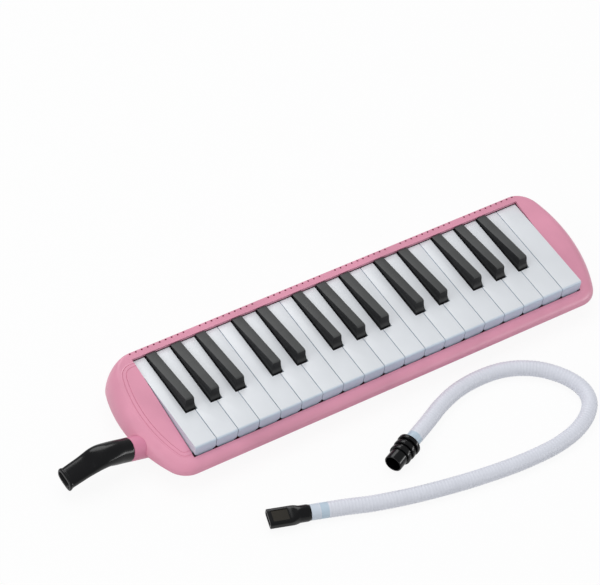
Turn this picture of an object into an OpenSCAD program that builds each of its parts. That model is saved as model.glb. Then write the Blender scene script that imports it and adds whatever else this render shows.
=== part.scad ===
// Melodica with 32 keys, a short blow-in mouthpiece and a ribbed blowing hose laid beside it.
// Millimetres. X runs along the keys with the low notes at -X, Y runs from the player's edge to
// the back rail, and Z is up. The origin is the middle of the flat base that the case rests on.

/* [Case] */
// Case to the left of the first white key, which carries the blow socket
left_cheek_w = 32; // [31:0.5:40]
// Case to the right of the last white key
right_cheek_w = 28.2; // [27:0.2:36]
// Rail in front of the keys
front_rail_w = 10.2; // [10:0.2:14]
// Rail behind the keys, which has the sound holes
back_rail_w = 8.8; // [8.6:0.2:14]
// Height of the case top along the keys' front edge
front_rail_z = 26; // [25.5:0.5:30]
// Rise of the back rail over the white keys
back_rail_h = 3; // [2.5:0.1:5]
// Height of the seam between the case halves
seam_z = 17.5; // [17:0.5:18.5]
// How far the underside draws in between the seam and the base
base_inset = 16.5; // [15.5:0.5:17]
// Radius of the bowed ends in plan
end_bow_r = 110; // [100:5:200]
// How far behind the middle the bowed ends reach furthest
end_bow_back = 5; // [0:0.5:8]
// Plan radius of the two front corners
front_corner_r = 20; // [18:1:24]
// Plan radius of the two back corners
back_corner_r = 24; // [20:1:28]
// Reach of the soft edge at the left end, the right end, the front and the back
left_round = 13; // [8:0.5:14]
right_round = 10; // [6:0.5:12]
front_round = 6.5; // [4:0.5:7]
back_round = 3.5; // [2:0.5:4]
// Wall of the upper case
case_wall = 2.4; // [2:0.1:2.6]
// Wall of the lower case, measured level
tub_wall = 3.3; // [3:0.1:3.4]
// Floor of the lower case
floor_t = 2.4; // [2:0.1:2.6]
// Distance from the left outline to the raised cheek panel
panel_inset = 14; // [12:0.5:18]
// Height of the raised cheek panel
panel_h = 0.8; // [0.5:0.1:1.2]
// Width of the slope round the cheek panel
panel_slope = 3; // [1:0.5:4]

/* [Sound holes] */
// Groups of holes along the back rail
hole_groups = 6; // [4:1:6]
// Holes in one group
group_holes = 10; // [6:1:10]
// Spacing of the groups
group_pitch = 63.1; // [60:0.1:63.5]
// Spacing of the holes in a group
hole_pitch = 5.37; // [4:0.01:5.5]
// Diameter of a sound hole
hole_d = 1.8; // [1.2:0.1:2.4]
// Distance of the hole row behind the keys
hole_row = 4.7; // [4:0.1:5]

/* [Keys] */
// Spacing of the white keys
white_pitch = 19.2; // [19:0.1:20]
// Gap between two white keys
white_gap = 0.6; // [0.4:0.1:1]
// Visible length of a white key
white_l = 94; // [92:0.5:98]
// Height of the white keys over the front rail
white_top_h = 10; // [9.5:0.1:10.5]
// Depth of a white key's front skirt
skirt_h = 14.5; // [13.5:0.1:14.6]
// Depth of the key caps behind the front skirt
cap_h = 9; // [8.6:0.1:9.2]
// Rounding of a white key's front edge
white_edge_r = 1.6; // [1:0.1:2]
// Width of a black key at its foot
black_w = 9; // [8:0.1:9.4]
// Width of a black key across its top
black_top_w = 7; // [6:0.1:7.6]
// Visible length of a black key
black_l = 61; // [58:0.5:62]
// Height of a black key over the white keys at its front
black_front_h = 10.3; // [9:0.1:11]
// Height of a black key over the white keys at the back rail
black_back_h = 2; // [1.5:0.1:2.5]
// How far a black key's front leans back from its foot
black_lean = 2.3; // [1.5:0.1:3]
// Clearance beside a black key
black_gap = 0.8; // [0.5:0.1:1]
// Clearance in front of a black key, for its swing
black_front_gap = 1.3; // [1.3:0.1:2]
// Sideways shift of the outer black keys in a group of three
shift_of_three = 3.2; // [2.4:0.1:3.4]
// Sideways shift of the black keys in a group of two
shift_of_two = 1.8; // [1.4:0.1:2.4]
// Wall of the hollow white keys
key_wall = 1.5; // [1.2:0.1:1.8]
// Top thickness of the white keys
key_top_t = 2; // [1.6:0.1:2.4]
// Clearance between the keys and the front edge of the case window
front_gap = 0.9; // [0.9:0.1:1.2]
// Clearance between the keys and the other edges of the case window
window_gap = 0.4; // [0.3:0.1:0.6]

/* [Key action] */
// Depth of the key axle under the lower edge of the key caps
pivot_drop = 3.5; // [3.2:0.1:3.9]
// Diameter of the key axle
axle_d = 3; // [2:0.1:3]
// Radial clearance of the keys on the axle
axle_clear = 0.06; // [0.02:0.01:0.1]
// Diameter of the hinge boss under each key
boss_d = 6; // [5.6:0.1:6.4]
// Width of the hinge boss under each key
boss_w = 5; // [4:0.1:5.4]
// Thickness of the lever web under each key
web_t = 2.4; // [1.8:0.1:3]
// Angle that a key swings through when it is pressed
key_dip = 4.2; // [3:0.1:4.4]
// Distance of the valve pads behind the key axle
pad_back = 17; // [15:0.1:19]
// Width of a valve pad
pad_w = 5.5; // [5:0.1:6]
// Length of a valve pad
pad_l = 11; // [10:0.1:11.4]
// Thickness of a valve pad
pad_t = 2.4; // [2:0.1:2.6]
// Width of a leaf spring
spring_w = 3; // [2:0.1:3.6]
// Thickness of a leaf spring
spring_t = 0.35; // [0.25:0.05:0.5]
// Thickness of the stop felts
felt_t = 3; // [2:0.1:4]
// Thickness of the case ribs under the felts
rib_t = 2.5; // [2:0.1:3]

/* [Wind chest] */
// Depth of the chest's deck under the key axle
deck_drop = 4; // [3.8:0.1:4.2]
// Thickness of the chest's deck
deck_t = 2.5; // [2.2:0.1:3]
// Wall of the chest
chest_wall = 2; // [1.6:0.1:2.2]
// Width of the screw flange along the chest's long sides
flange_w = 3.4; // [3.2:0.1:3.4]
// Thickness of the screw flange
flange_t = 2.5; // [2:0.1:3]
// Thickness of the chest cover
cover_t = 2; // [1.8:0.1:2.2]
// Thickness of the cover gasket
gasket_t = 0.6; // [0.4:0.1:0.8]
// Thickness of the reed plates
reed_plate_t = 1; // [0.8:0.1:1.2]
// Thickness of a reed tongue
reed_t = 0.3; // [0.2:0.05:0.4]
// Width of a reed slot
reed_slot_w = 2.6; // [2.2:0.1:3]
// Length of the lowest note's reed slot
reed_long = 24; // [20:0.5:24]
// Length of the highest note's reed slot
reed_short = 12; // [10:0.5:14]
// Width and length of a valve port
port_w = 3.5; // [3:0.1:4]
port_l = 7; // [6:0.1:8]

/* [Blow socket and mouthpiece] */
// Height of the socket's rim centre
socket_z = 20.7; // [20:0.1:21]
// Distance of the socket in front of the case's middle
socket_front = 14.5; // [13:0.5:16]
// Reach of the socket's rim past the case's left end
socket_reach = 6.9; // [6:0.1:9]
// Upward tilt of the socket
socket_tilt = 16; // [14:0.5:17]
// Outer diameter of the socket and of the mouthpiece's root
socket_d = 18.8; // [18:0.1:19]
// Bore of the socket, which takes a mouthpiece or the hose adapter
socket_bore = 14.9; // [14:0.1:15.6]
// Room behind a spigot that is pushed home in the socket
bore_spare = 1; // [0.5:0.1:2]
// Radial clearance of a spigot in the socket
spigot_clear = 0.05; // [0.02:0.01:0.1]
// Length of the spigots
spigot_l = 14; // [12:0.5:15]
// Air passage through the spigots
air_d = 8.8; // [8:0.1:9.4]
// Straight root of the mouthpiece
root_l = 19; // [14:0.5:20]
// Bend radius of the mouthpiece
bend_r = 20; // [18:0.5:30]
// Bend angle of the mouthpiece
bend_a = 37; // [25:0.5:40]
// How much wider the mouthpiece swells to each side at its bend
bend_swell = 0.7; // [0:0.1:1.2]
// Straight blade of the mouthpiece after its bend
blade_l = 25.5; // [22:0.5:30]
// Width and thickness of the mouthpiece's blade
blade_w = 19; // [17:0.1:21]
blade_t = 8.2; // [7:0.1:9]
// Stand of the lip round the mouthpiece's tip
lip_h = 1; // [0.4:0.1:1.2]
// Wall of the mouthpiece's blade
blade_wall = 1.2; // [1:0.1:1.4]
// How square the blade's section is, from 2 for an oval upwards
blade_square = 3; // [2:0.1:4]
// Slant of the tip's face, which leans back from the blade's square end
tip_slant = 24; // [0:1:28]
// Length of the blade over which its sections turn to that slant
slant_l = 12; // [10:0.5:16]

/* [Drain button] */
// Diameter of the drain button
button_d = 9; // [8:0.1:9]
// Clearance of the drain button in the case
button_clear = 0.3; // [0.2:0.05:0.4]
// Inset of the button's face from the case's right end
button_inset = 4.5; // [3:0.1:5]
// Depth of the drain's middle under the reed plates
drain_drop = 4; // [3.6:0.1:4.4]
// Travel of the drain button
button_travel = 2.5; // [1.5:0.1:2.6]
// Diameter of the drain valve's stem
stem_d = 3; // [2:0.1:3.4]
// Wire of the drain spring
drain_wire = 0.6; // [0.4:0.1:0.7]
// Turns of the drain spring
drain_turns = 4; // [3:1:4]

/* [Blowing hose] */
// Outer diameter of the hose over its ribs
hose_d = 12.8; // [12:0.1:12.9]
// Depth of the hose's ribs
rib_depth = 0.6; // [0.4:0.1:1.1]
// Bore of the hose
hose_bore = 9.4; // [9:0.1:9.6]
// Ribs along the hose
hose_ribs = 164; // [80:1:190]
// Plain cuff at the adapter's end and at the mouthpiece's end
adapter_cuff = 8; // [6:0.5:10]
blade_cuff = 14; // [12:0.5:18]
// Diameter of the cuffs
cuff_d = 12.4; // [12:0.1:12.8]
// Length of the tails that hold the hose
tail_l = 8; // [6:0.5:10]
// Diameter of the hose adapter's largest ridge
ridge_d = 19.2; // [18:0.1:19.2]
// How much the radius of each next ridge drops towards the nozzle
ridge_step = 0.3; // [0.2:0.05:0.4]
// Spacing of the ridges
ridge_pitch = 6; // [5:0.1:7.5]
// Width of a ridge
ridge_w = 3.5; // [2:0.1:4.5]
// Diameter between the ridges
groove_d = 15.2; // [14.4:0.1:15.4]
// Length of the adapter's nozzle
nozzle_l = 9.7; // [6:0.1:12]
// Wall of the adapter's nozzle
nozzle_wall = 1.1; // [1:0.1:1.8]
// Length, width and thickness of the hose's own mouthpiece
tip_l = 33; // [30:0.5:36]
tip_w = 16; // [15:0.1:18]
tip_t = 6; // [5.4:0.1:7]
// Radius of that mouthpiece's collar
collar_r = 6.7; // [6.4:0.1:7.4]

/* [Hidden] */
$fn = 48;
white_count = 19;
octave = 7;

// Outline of the case and the places of the keys
keys_l = white_count * white_pitch;
body_l = left_cheek_w + keys_l + right_cheek_w;
body_w = front_rail_w + white_l + back_rail_w;
keys_x0 = -body_l / 2 + left_cheek_w;
keys_x1 = keys_x0 + keys_l;
front_y = -body_w / 2 + front_rail_w;
back_y = front_y + white_l;
white_top_z = front_rail_z + white_top_h;
back_rail_z = white_top_z + back_rail_h;
cap_back_y = back_y - window_gap;
skirt_z = white_top_z - skirt_h;
cap_z = white_top_z - cap_h;
black_front_y = back_y - black_l;
cut_y = black_front_y - black_front_gap;
black_top_z = white_top_z + black_front_h;

// Blacks follow the first, second, third, fifth and sixth white key of each octave from F
black_shift = [-shift_of_three, 0, shift_of_three, undef, -shift_of_two, shift_of_two, undef];
function has_black(i) = i >= 0 && i < white_count - 1 && !is_undef(black_shift[i % octave]);
blacks = [for (i = [0:white_count - 1]) if (has_black(i)) i];
function black_x(i) = keys_x0 + (i + 1) * white_pitch + black_shift[i % octave];
function white_x0(i) = keys_x0 + i * white_pitch + white_gap / 2;
function white_x1(i) = keys_x0 + (i + 1) * white_pitch - white_gap / 2;
function tail_x0(i) = has_black(i - 1) ? black_x(i - 1) + black_w / 2 + black_gap : white_x0(i);
function tail_x1(i) = has_black(i) ? black_x(i) - black_w / 2 - black_gap : white_x1(i);
function white_lever_x(i) = (tail_x0(i) + tail_x1(i)) / 2;
white_levers = [for (i = [0:white_count - 1]) white_lever_x(i)];
black_levers = [for (i = blacks) black_x(i)];
levers = concat(white_levers, black_levers);

// Wind chest, from its cover up to its deck, with its back flange at the tub's back wall
pivot_z = cap_z - pivot_drop;
deck_z = pivot_z - deck_drop;
cover_lift = 3;
cover_z = floor_t + cover_lift;
gasket_z = cover_z + cover_t;
chest_z = gasket_z + gasket_t;
chest_clear = 0.4;
chest_side = 3.5;
chest_x0 = keys_x0 - chest_side;
chest_x1 = keys_x1 + chest_side;
flange_end = 6;
flange_x = [chest_x0 + flange_end, chest_x1 - flange_end];
flange_y1 = body_w / 2 - tub_inset(cover_z) - chest_clear;
chest_y1 = flange_y1 - flange_w;
pad_margin = 3.5;
pad_y1 = chest_y1 - pad_margin;
pad_y0 = pad_y1 - pad_l;
port_y1 = (pad_y0 + pad_y1 + port_l) / 2;
reed_base = 3;
plate_gap = 0.2;
chest_y0 = port_y1 - reed_long - reed_base - 2 * plate_gap - chest_wall;
flange_y0 = chest_y0 - flange_w;
reed_plate_z = deck_z - deck_t - reed_plate_t;
bracket_t = 3;
bracket_w = 8;
bracket_gap = 0.5;
bracket_z = cap_z - bracket_gap;
open_joins = [for (i = [0:white_count - 2]) if (!has_black(i)) keys_x0 + (i + 1) * white_pitch];
brackets = concat([chest_x0 + bracket_t / 2], open_joins, [chest_x1 - bracket_t / 2]);
function reed_l(x) = reed_long + (reed_short - reed_long) * (x - keys_x0) / keys_l;

// Key axle, pads and stops
pivot_y = (pad_y0 + pad_y1) / 2 - pad_back;
pad_rest = 0.05;
pad_glue = 0.05;
seat_z = deck_z + pad_rest + pad_t + pad_glue;
seat_t = 1.6;
web_z = cap_z - 1;
web_front_z = cap_z + 2;
skirt_foot = 6.5;
skirt_reach = 16;
web_inset = 2;
web_front_y = front_y + skirt_reach + web_inset;
spring_back = 5.8;
spring_y = black_front_y + spring_back;
spring_step = 1.5;
spring_touch = 0.1;
spring_fall = 1.2;
spring_foot = 4.5;
web_step_y = spring_y - spring_step;
stop_gap = 0.3;
function pressed_z(y, z) =
    pivot_z + (y - pivot_y) * sin(key_dip) + (z - pivot_z) * cos(key_dip);
white_felt_z = pressed_z(front_y, skirt_z) - stop_gap;
felt_inset = 0.5;
white_felt_y = [front_y + felt_inset, front_y + skirt_foot - felt_inset];
black_felt_z = pressed_z(black_front_y, cap_z) - stop_gap;
black_felt_y = [black_front_y, web_step_y - stop_gap];

// Screws: shank diameter, shank length, head diameter, head height
case_screw = [2.6, 6.4, 5, 1.5];
chest_screw = [2.4, 7, 4.6, 1.5];
cover_screw = [1.6, 4.2, 2.8, 1];
reed_screw = [1.6, 2.6, 2.8, 1];
screw_clear = 0.05;
hole_clear = 0.2;
screw_seat_z = seam_z - 2.2;
case_boss_d = 5.6;
tub_boss_d = 9;
rail_screw_y = [-body_w / 2 + 0.55 * front_rail_w, body_w / 2 - 0.52 * back_rail_w];
rail_screw_x = [for (t = [0.2, 0.5, 0.8]) keys_x0 + t * keys_l];
cheek_screw_in = 16;
front_screw_in = 21;
cheek_screws = [
    [cheek_screw_in - body_l / 2, 0.3 * body_w], [front_screw_in - body_l / 2, -0.354 * body_w],
    [body_l / 2 - cheek_screw_in, 0.3 * body_w], [body_l / 2 - cheek_screw_in, -0.32 * body_w]];
case_screws_at = concat(cheek_screws, [for (x = rail_screw_x, y = rail_screw_y) [x, y]]);
lug_w = 8;
lug_room = 0.6;
lug_y = flange_y0 - lug_w / 2 - lug_room;
lug_x = [for (t = [0.12, 0.38, 0.62, 0.88]) keys_x0 + t * keys_l];
cover_screw_x = [for (t = [0.02 : 0.192 : 0.99]) keys_x0 + t * keys_l];
cover_screw_y = [chest_y0 - 1.1, chest_y1 + 1.1];
plate_split = (keys_x0 + keys_x1) / 2 + 1.2;
plate_x = [[chest_x0 + chest_wall + plate_gap, plate_split - plate_gap],
    [plate_split + plate_gap, chest_x1 - chest_wall - plate_gap]];
plate_y = [chest_y0 + chest_wall + plate_gap, chest_y1 - chest_wall - plate_gap];
plate_screws = [for (p = plate_x, t = [0.02, 0.5, 0.98], y = [plate_y[0] + 1.5, plate_y[1] - 1.5])
    [p[0] + t * (p[1] - p[0]), y]];

// Blow socket, its duct to the chest, and the drain at the chest's other end
socket_at = [-body_l / 2 - socket_reach, -socket_front, socket_z];
socket_depth = spigot_l + bore_spare;
socket_step = 2;
socket_wall_l = socket_depth + socket_step;
socket_tail_d = air_d + 1.6;
socket_tail_l = 10;
seat_clear = 0.1;
rim_gap = 0.1;
inlet_at = [pivot_y, (chest_z + deck_z - deck_t) / 2];
inlet_d = deck_z - deck_t - chest_z - 2 * bracket_gap;
duct_wall = 1.5;
duct_side = 2.3;
duct_y = [-socket_front - socket_tail_d / 2 - duct_side, inlet_at[0] + inlet_d / 2 + 2 * duct_wall];
duct_z = [floor_t + 2 * duct_side, deck_z + duct_wall];
duct_x0 = -body_l / 2 + tub_inset(duct_z[0]) + bow_depth(duct_y[0]) + chest_clear;
duct_x1 = chest_x0 - 2;
drain_z = reed_plate_z - drain_drop;
drain_y = pivot_y + drain_drop;
drain_hole_d = 4.6;
valve_d = 6.4;
valve_t = 1.6;
collar_d = button_d + 1.6;
collar_t = 1.5;
spring_room = 6.2;
drain_spring_d = 7;

// Hose route along its middle line, from the adapter to the hose's own mouthpiece
table_gap = 0.1;
plug_z = ridge_d / 2 + table_gap;
lay_z = hose_d / 2 + table_gap;
tip_z = collar_r + table_gap;
hose_route = [
    [-18.1, -103.1, plug_z], [-9, -98.95, plug_z], [2, -94, mix(plug_z, lay_z, 0.06)],
    [12.5, -88.9, mix(plug_z, lay_z, 0.22)], [26, -82.3, mix(plug_z, lay_z, 0.47)],
    [45, -75.7, mix(plug_z, lay_z, 0.84)], [65, -72.8, lay_z], [86, -73.8, lay_z], [104, -79.2, lay_z],
    [119.5, -89, lay_z], [131.5, -103, lay_z], [137.5, -118, lay_z], [135.5, -132, lay_z],
    [125, -143.5, lay_z], [108, -152, lay_z], [87, -156.5, lay_z], [65, -157.5, lay_z],
    [40, -156.5, lay_z], [8, -153, lay_z], [-20, -148.5, lay_z], [-47, -143, lay_z],
    [-74, -136, mix(lay_z, tip_z, 0.3)], [-92, -129.9, mix(lay_z, tip_z, 0.7)],
    [-107, -125.2, tip_z], [-121.4, -120.8, tip_z]];
hose_sides = 8;
bore_rings = 70;
fine_steps = 8;

white_names = [for (i = [1:white_count]) str("white_key_", i < 10 ? "0" : "", i)];
black_names = [for (i = [1:len(blacks)]) str("black_key_", i < 10 ? "0" : "", i)];

// Colours as the photograph shows them
pink = "#dd9cb4";
ivory = "#e6e8ea";
jet = "#1c1c20";
ebony = "#2c2c2e";
frost = "#dfe3ec";
resin = "#c9c4b8";
brass = "#b99a4e";
steel = "#b4b6ba";
felt = "#7a2f35";
rubber = "#3b3b3d";

// Helpers for outlines, skins and sweeps
function arc(c, r, a0, a1, n) =
    [for (i = [0:n]) c + r * [cos(a0 + (a1 - a0) * i / n), sin(a0 + (a1 - a0) * i / n)]];
function flat(lists) = [for (l = lists) each l];
function unit(v) = v / norm(v);
function mix(a, b, t) = a + (b - a) * t;
function smooth(t) = let (u = min(max(t, 0), 1)) u * u * (3 - 2 * u);
function top_z(y) = mix(front_rail_z, back_rail_z, (y - front_y) / white_l);

// How far the tub's inner wall is drawn in at a height, and how far a bowed end falls back at y
function tub_inset(z) = base_inset * (1 - z / seam_z) + tub_wall;
function bow_depth(y) = end_bow_r - sqrt(pow(end_bow_r, 2) - pow(y - end_bow_back, 2));

// Plan outline of the case, drawn in by its own amount on each side
function end_points(side, x_end, y0, y1, r0, r1) =
    let (
        ym = (y0 + y1) / 2 + end_bow_back,
        xc = x_end - end_bow_r,
        x0 = xc + sqrt(pow(end_bow_r - r0, 2) - pow(y0 + r0 - ym, 2)),
        x1 = xc + sqrt(pow(end_bow_r - r1, 2) - pow(y1 - r1 - ym, 2)),
        a0 = atan2(y0 + r0 - ym, x0 - xc),
        a1 = atan2(y1 - r1 - ym, x1 - xc),
        bow = arc([xc, ym], end_bow_r, a0, a1, 8),
        points = concat(
            arc([x0, y0 + r0], r0, -90, a0, 6),
            [for (i = [1:7]) bow[i]],
            arc([x1, y1 - r1], r1, a1, 90, 6)))
    side > 0 ? points : [for (i = [len(points) - 1:-1:0]) [-points[i][0], points[i][1]]];
function corner(r, a, b) = max(r - (a + b) / 2, 2);
function outline(l, r, f, b) =
    let (y0 = -body_w / 2 + f, y1 = body_w / 2 - b)
    concat(
        end_points(1, body_l / 2 - r, y0, y1,
            corner(front_corner_r, r, f), corner(back_corner_r, r, b)),
        end_points(-1, body_l / 2 - l, y0, y1,
            corner(front_corner_r, l, f), corner(back_corner_r, l, b)));
function level(ring, z) = [for (p = ring) [p[0], p[1], z]];

// Rings of the soft top, from the seam up to the sloping top face
function shell_ring(a, inset, drop) =
    let (s = 1 - cos(a))
    [for (p = outline(inset + left_round * s, inset + right_round * s,
            inset + front_round * s, inset + back_round * s))
        [p[0], p[1], mix(seam_z, top_z(p[1]) - drop, sin(a))]];
function top_ring(inset, lift) =
    [for (p = outline(inset, inset, inset, inset)) [p[0], p[1], top_z(p[1]) + lift]];
function tub_ring(z, inset) =
    let (d = base_inset * (1 - z / seam_z) + inset)
    level(outline(d, d, d, d), z);

// A closed skin over rings with equal point counts, drawn anticlockwise along their way
module skin(rings) {
    n = len(rings[0]);
    last = (len(rings) - 1) * n;
    sides = [for (i = [0:len(rings) - 2], j = [0:n - 1])
        let (a = i * n + j, b = i * n + (j + 1) % n)
        each [[a, a + n, b + n], [a, b + n, b]]];
    caps = [[for (j = [0:n - 1]) j], [for (j = [n - 1:-1:0]) last + j]];
    polyhedron(flat(rings), concat(sides, caps));
}

// A tube between an outer and an inner run of rings that end in the same planes
module tube_skin(outer, inner) {
    n = len(outer[0]);
    base = len(outer) * n;
    out_end = base - n;
    in_end = base + (len(inner) - 1) * n;
    walls = [for (i = [0:len(outer) - 2], j = [0:n - 1])
        let (a = i * n + j, b = i * n + (j + 1) % n)
        each [[a, a + n, b + n], [a, b + n, b]]];
    bore = [for (i = [0:len(inner) - 2], j = [0:n - 1])
        let (a = base + i * n + j, b = base + i * n + (j + 1) % n)
        each [[a, b + n, a + n], [a, b, b + n]]];
    ends = [for (j = [0:n - 1])
        let (k = (j + 1) % n)
        each [[j, k, base + k], [j, base + k, base + j],
            [out_end + j, in_end + k, out_end + k], [out_end + j, in_end + j, in_end + k]]];
    polyhedron(flat(concat(outer, inner)), concat(walls, bore, ends));
}

// Extrudes a side view, drawn as Y and Z, from x0 to x1
module along_x(x0, x1) {
    translate([x0, 0, 0]) rotate([90, 0, 90]) linear_extrude(x1 - x0) children();
}

// Extrudes an end view, drawn as X and Z, from y0 to y1
module along_y(y0, y1) {
    translate([0, y1, 0]) rotate([90, 0, 0]) linear_extrude(y1 - y0) children();
}

module box(x, y, z) {
    translate([x[0], y[0], z[0]]) cube([x[1] - x[0], y[1] - y[0], z[1] - z[0]]);
}

module rod_x(x0, x1, d) {
    translate([x0, 0, 0]) rotate([0, 90, 0]) cylinder(h = x1 - x0, d = d);
}

// A pan-head screw at the origin whose shank points up and whose head lies below
module screw(s) {
    translate([0, 0, -s[3] / 2]) cylinder(h = s[1] + s[3] / 2, d = s[0]);
    translate([0, 0, -s[3]]) cylinder(h = s[3], d = s[2]);
}

module in_socket() {
    translate(socket_at) rotate([0, socket_tilt - 90, 0]) children();
}

// Case halves
module sound_hole_cuts() {
    row_l = (hole_groups - 1) * group_pitch + (group_holes - 1) * hole_pitch;
    x0 = (keys_x0 + keys_x1 - row_l) / 2;
    for (g = [0:hole_groups - 1], i = [0:group_holes - 1])
        translate([x0 + g * group_pitch + i * hole_pitch, back_y + hole_row, (seam_z + back_rail_z) / 2])
            cylinder(h = back_rail_z, d = hole_d, $fn = 16);
}

module socket_cut() {
    in_socket() {
        translate([0, 0, -socket_wall_l - seat_clear])
            cylinder(h = 2 * socket_wall_l, d = socket_d + 2 * seat_clear);
        translate([0, 0, -socket_wall_l - socket_tail_l - 4])
            cylinder(h = socket_wall_l, d = socket_tail_d + 1);
    }
}

module cheek_panel() {
    intersection() {
        skin([
            top_ring(panel_inset, -case_wall / 2),
            top_ring(panel_inset, 0),
            top_ring(panel_inset + panel_slope, panel_h)]);
        box([-body_l, keys_x0 - window_gap], [-body_w, body_w], [0, 2 * back_rail_z]);
    }
}

module upper_case() {
    color(pink) difference() {
        union() {
            skin([for (a = [0:18:90]) shell_ring(a, 0, 0)]);
            cheek_panel();
        }
        difference() {
            skin(concat([level(shell_ring(0, case_wall, case_wall), seam_z - 1)],
                [for (a = [0:30:90]) shell_ring(a, case_wall, case_wall)]));
            for (p = case_screws_at)
                translate([p[0], p[1], seam_z]) cylinder(h = back_rail_z, d = case_boss_d);
        }
        box([keys_x0 - window_gap, keys_x1 + window_gap],
            [front_y - front_gap, back_y], [seam_z - 1, 2 * back_rail_z]);
        sound_hole_cuts();
        socket_cut();
        for (p = case_screws_at)
            translate([p[0], p[1], screw_seat_z])
                cylinder(h = case_screw[1] + 0.6, d = case_screw[0] + 2 * screw_clear);
    }
}

module stop_rib(y, z) {
    middle = (y[0] + y[1]) / 2;
    box([keys_x0, keys_x1], [middle - rib_t / 2, middle + rib_t / 2], [floor_t / 2, z - felt_t]);
}

module tub_bosses() {
    for (x = lug_x) {
        translate([x, lug_y, floor_t / 2]) cylinder(h = chest_z - floor_t / 2, d = lug_w - 1.6);
        box([x + lug_w, x + 2 * lug_w], [pad_y0, pad_y1], [floor_t / 2, cover_z]);
    }
    for (p = case_screws_at)
        translate([p[0], p[1], 0]) cylinder(h = seam_z, d = tub_boss_d);
}

module lower_case() {
    bore_l = chest_screw[1] + 0.6;
    color(pink) difference() {
        union() {
            difference() {
                skin([tub_ring(0, 1), tub_ring(1, 0), tub_ring(seam_z, 0)]);
                difference() {
                    skin([tub_ring(floor_t, tub_wall), level(tub_ring(seam_z, tub_wall), seam_z + 1)]);
                    tub_bosses();
                }
            }
            stop_rib(white_felt_y, white_felt_z);
            difference() {
                stop_rib(black_felt_y, black_felt_z);
                for (x = lug_x)
                    box([x - lug_w / 2 - lug_room, x + lug_w / 2 + lug_room], [-body_w, chest_y0],
                        [floor_t, chest_z + flange_t + 2 * chest_screw[3]]);
            }
        }
        for (p = case_screws_at)
            translate([p[0], p[1], 0]) {
                translate([0, 0, -1]) cylinder(h = screw_seat_z + 1, d = case_screw[2] + 2 * hole_clear);
                cylinder(h = seam_z + 1, d = case_screw[0] + 2 * hole_clear);
            }
        for (x = lug_x)
            translate([x, lug_y, chest_z + flange_t - bore_l])
                cylinder(h = bore_l, d = chest_screw[0] + 2 * screw_clear);
        socket_cut();
        translate([0, drain_y, drain_z]) rod_x(chest_x1 + 4, body_l, button_d + 2 * button_clear);
    }
}

module case_screws() {
    color(steel) for (p = case_screws_at) translate([p[0], p[1], screw_seat_z]) screw(case_screw);
}

// Blow socket, mouthpiece and the duct to the chest
module blow_socket() {
    tail_end = -socket_wall_l - socket_tail_l;
    color(pink) in_socket() rotate_extrude() polygon([
        [air_d / 2, tail_end], [socket_tail_d / 2, tail_end], [socket_tail_d / 2, -socket_wall_l],
        [socket_d / 2, -socket_wall_l], [socket_d / 2, 0], [socket_bore / 2, 0],
        [socket_bore / 2, -socket_depth], [air_d / 2, -socket_depth]]);
}

module air_duct() {
    reach = chest_x0 + chest_wall;
    color(resin) difference() {
        union() {
            box([duct_x0, duct_x1], duct_y, duct_z);
            translate([0, inlet_at[0], inlet_at[1]]) rod_x(duct_x0 + duct_wall, reach, inlet_d);
        }
        box([duct_x0 + duct_wall, duct_x1 - duct_wall],
            [duct_y[0] + duct_wall, duct_y[1] - duct_wall],
            [duct_z[0] + duct_wall, duct_z[1] - duct_wall]);
        translate([0, inlet_at[0], inlet_at[1]])
            rod_x((duct_x0 + duct_x1) / 2, reach + 1, inlet_d - 2 * duct_wall);
        in_socket() translate([0, 0, -socket_wall_l - socket_tail_l - 0.5])
            cylinder(h = socket_tail_l, d = socket_tail_d + 2 * seat_clear);
    }
}

// Middle line of the mouthpiece as distance out of the socket, drop and slope
bend_l = bend_r * bend_a * PI / 180;
mouth_l = root_l + bend_l + blade_l;
function mouth_at(s) =
    let (
        a = bend_a * min(max((s - root_l) / bend_l, 0), 1),
        over = max(s - root_l - bend_l, 0))
    [min(s, root_l) + bend_r * sin(a) + over * cos(bend_a),
        bend_r * (1 - cos(a)) + over * sin(bend_a), a];
function squared(v, power) = sign(v) * pow(abs(v), 2 / power);
function mouth_ring(s, half_w, half_t, sides) =
    let (
        m = mouth_at(s),
        slant = tip_slant * smooth((s - mouth_l + slant_l) / slant_l),
        power = mix(2, blade_square, smooth((s - root_l) / bend_l)))
    [for (i = [0:sides - 1])
        let (a = 360 * i / sides, h = half_t * squared(cos(a), power) / cos(slant))
        [-m[1] + h * cos(m[2] - slant), half_w * squared(sin(a), power), m[0] + h * sin(m[2] - slant)]];
function mouth_half_w(s) = mix(socket_d, blade_w, smooth((s - 8) / (root_l + bend_l - 8))) / 2
    + bend_swell * sin(180 * min(max((s - 8) / (root_l + bend_l), 0), 1));
function mouth_half_t(s) = mix(socket_d, blade_t, smooth((s - 8) / (root_l + bend_l - 2))) / 2;
function lip(s) = lip_h * smooth((s - mouth_l + 3) / 2);
mouth_sides = 24;
mouth_stations = concat([0, 8], [for (t = [0.1 : 0.1 : 0.9]) 8 + t * (mouth_l - 11)],
    [mouth_l - 3, mouth_l - 2, mouth_l - 1, mouth_l]);

module mouthpiece() {
    outer = [for (s = mouth_stations)
        mouth_ring(s, mouth_half_w(s) + lip(s), mouth_half_t(s) + lip(s), mouth_sides)];
    inner = [for (t = [0 : 0.125 : 1])
        let (s = t * mouth_l, k = smooth(t * 1.4))
        mouth_ring(s, mix(air_d / 2, blade_w / 2 - blade_wall, k),
            mix(air_d / 2, blade_t / 2 - blade_wall, k), mouth_sides)];
    spigot_r = socket_bore / 2 - spigot_clear;
    color(jet) in_socket() translate([0, 0, rim_gap]) {
        tube_skin(outer, inner);
        rotate_extrude() polygon([
            [air_d / 2 - 0.2, 0.6], [air_d / 2 - 0.2, -spigot_l], [spigot_r, -spigot_l],
            [spigot_r, 0.6]]);
    }
}

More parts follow.
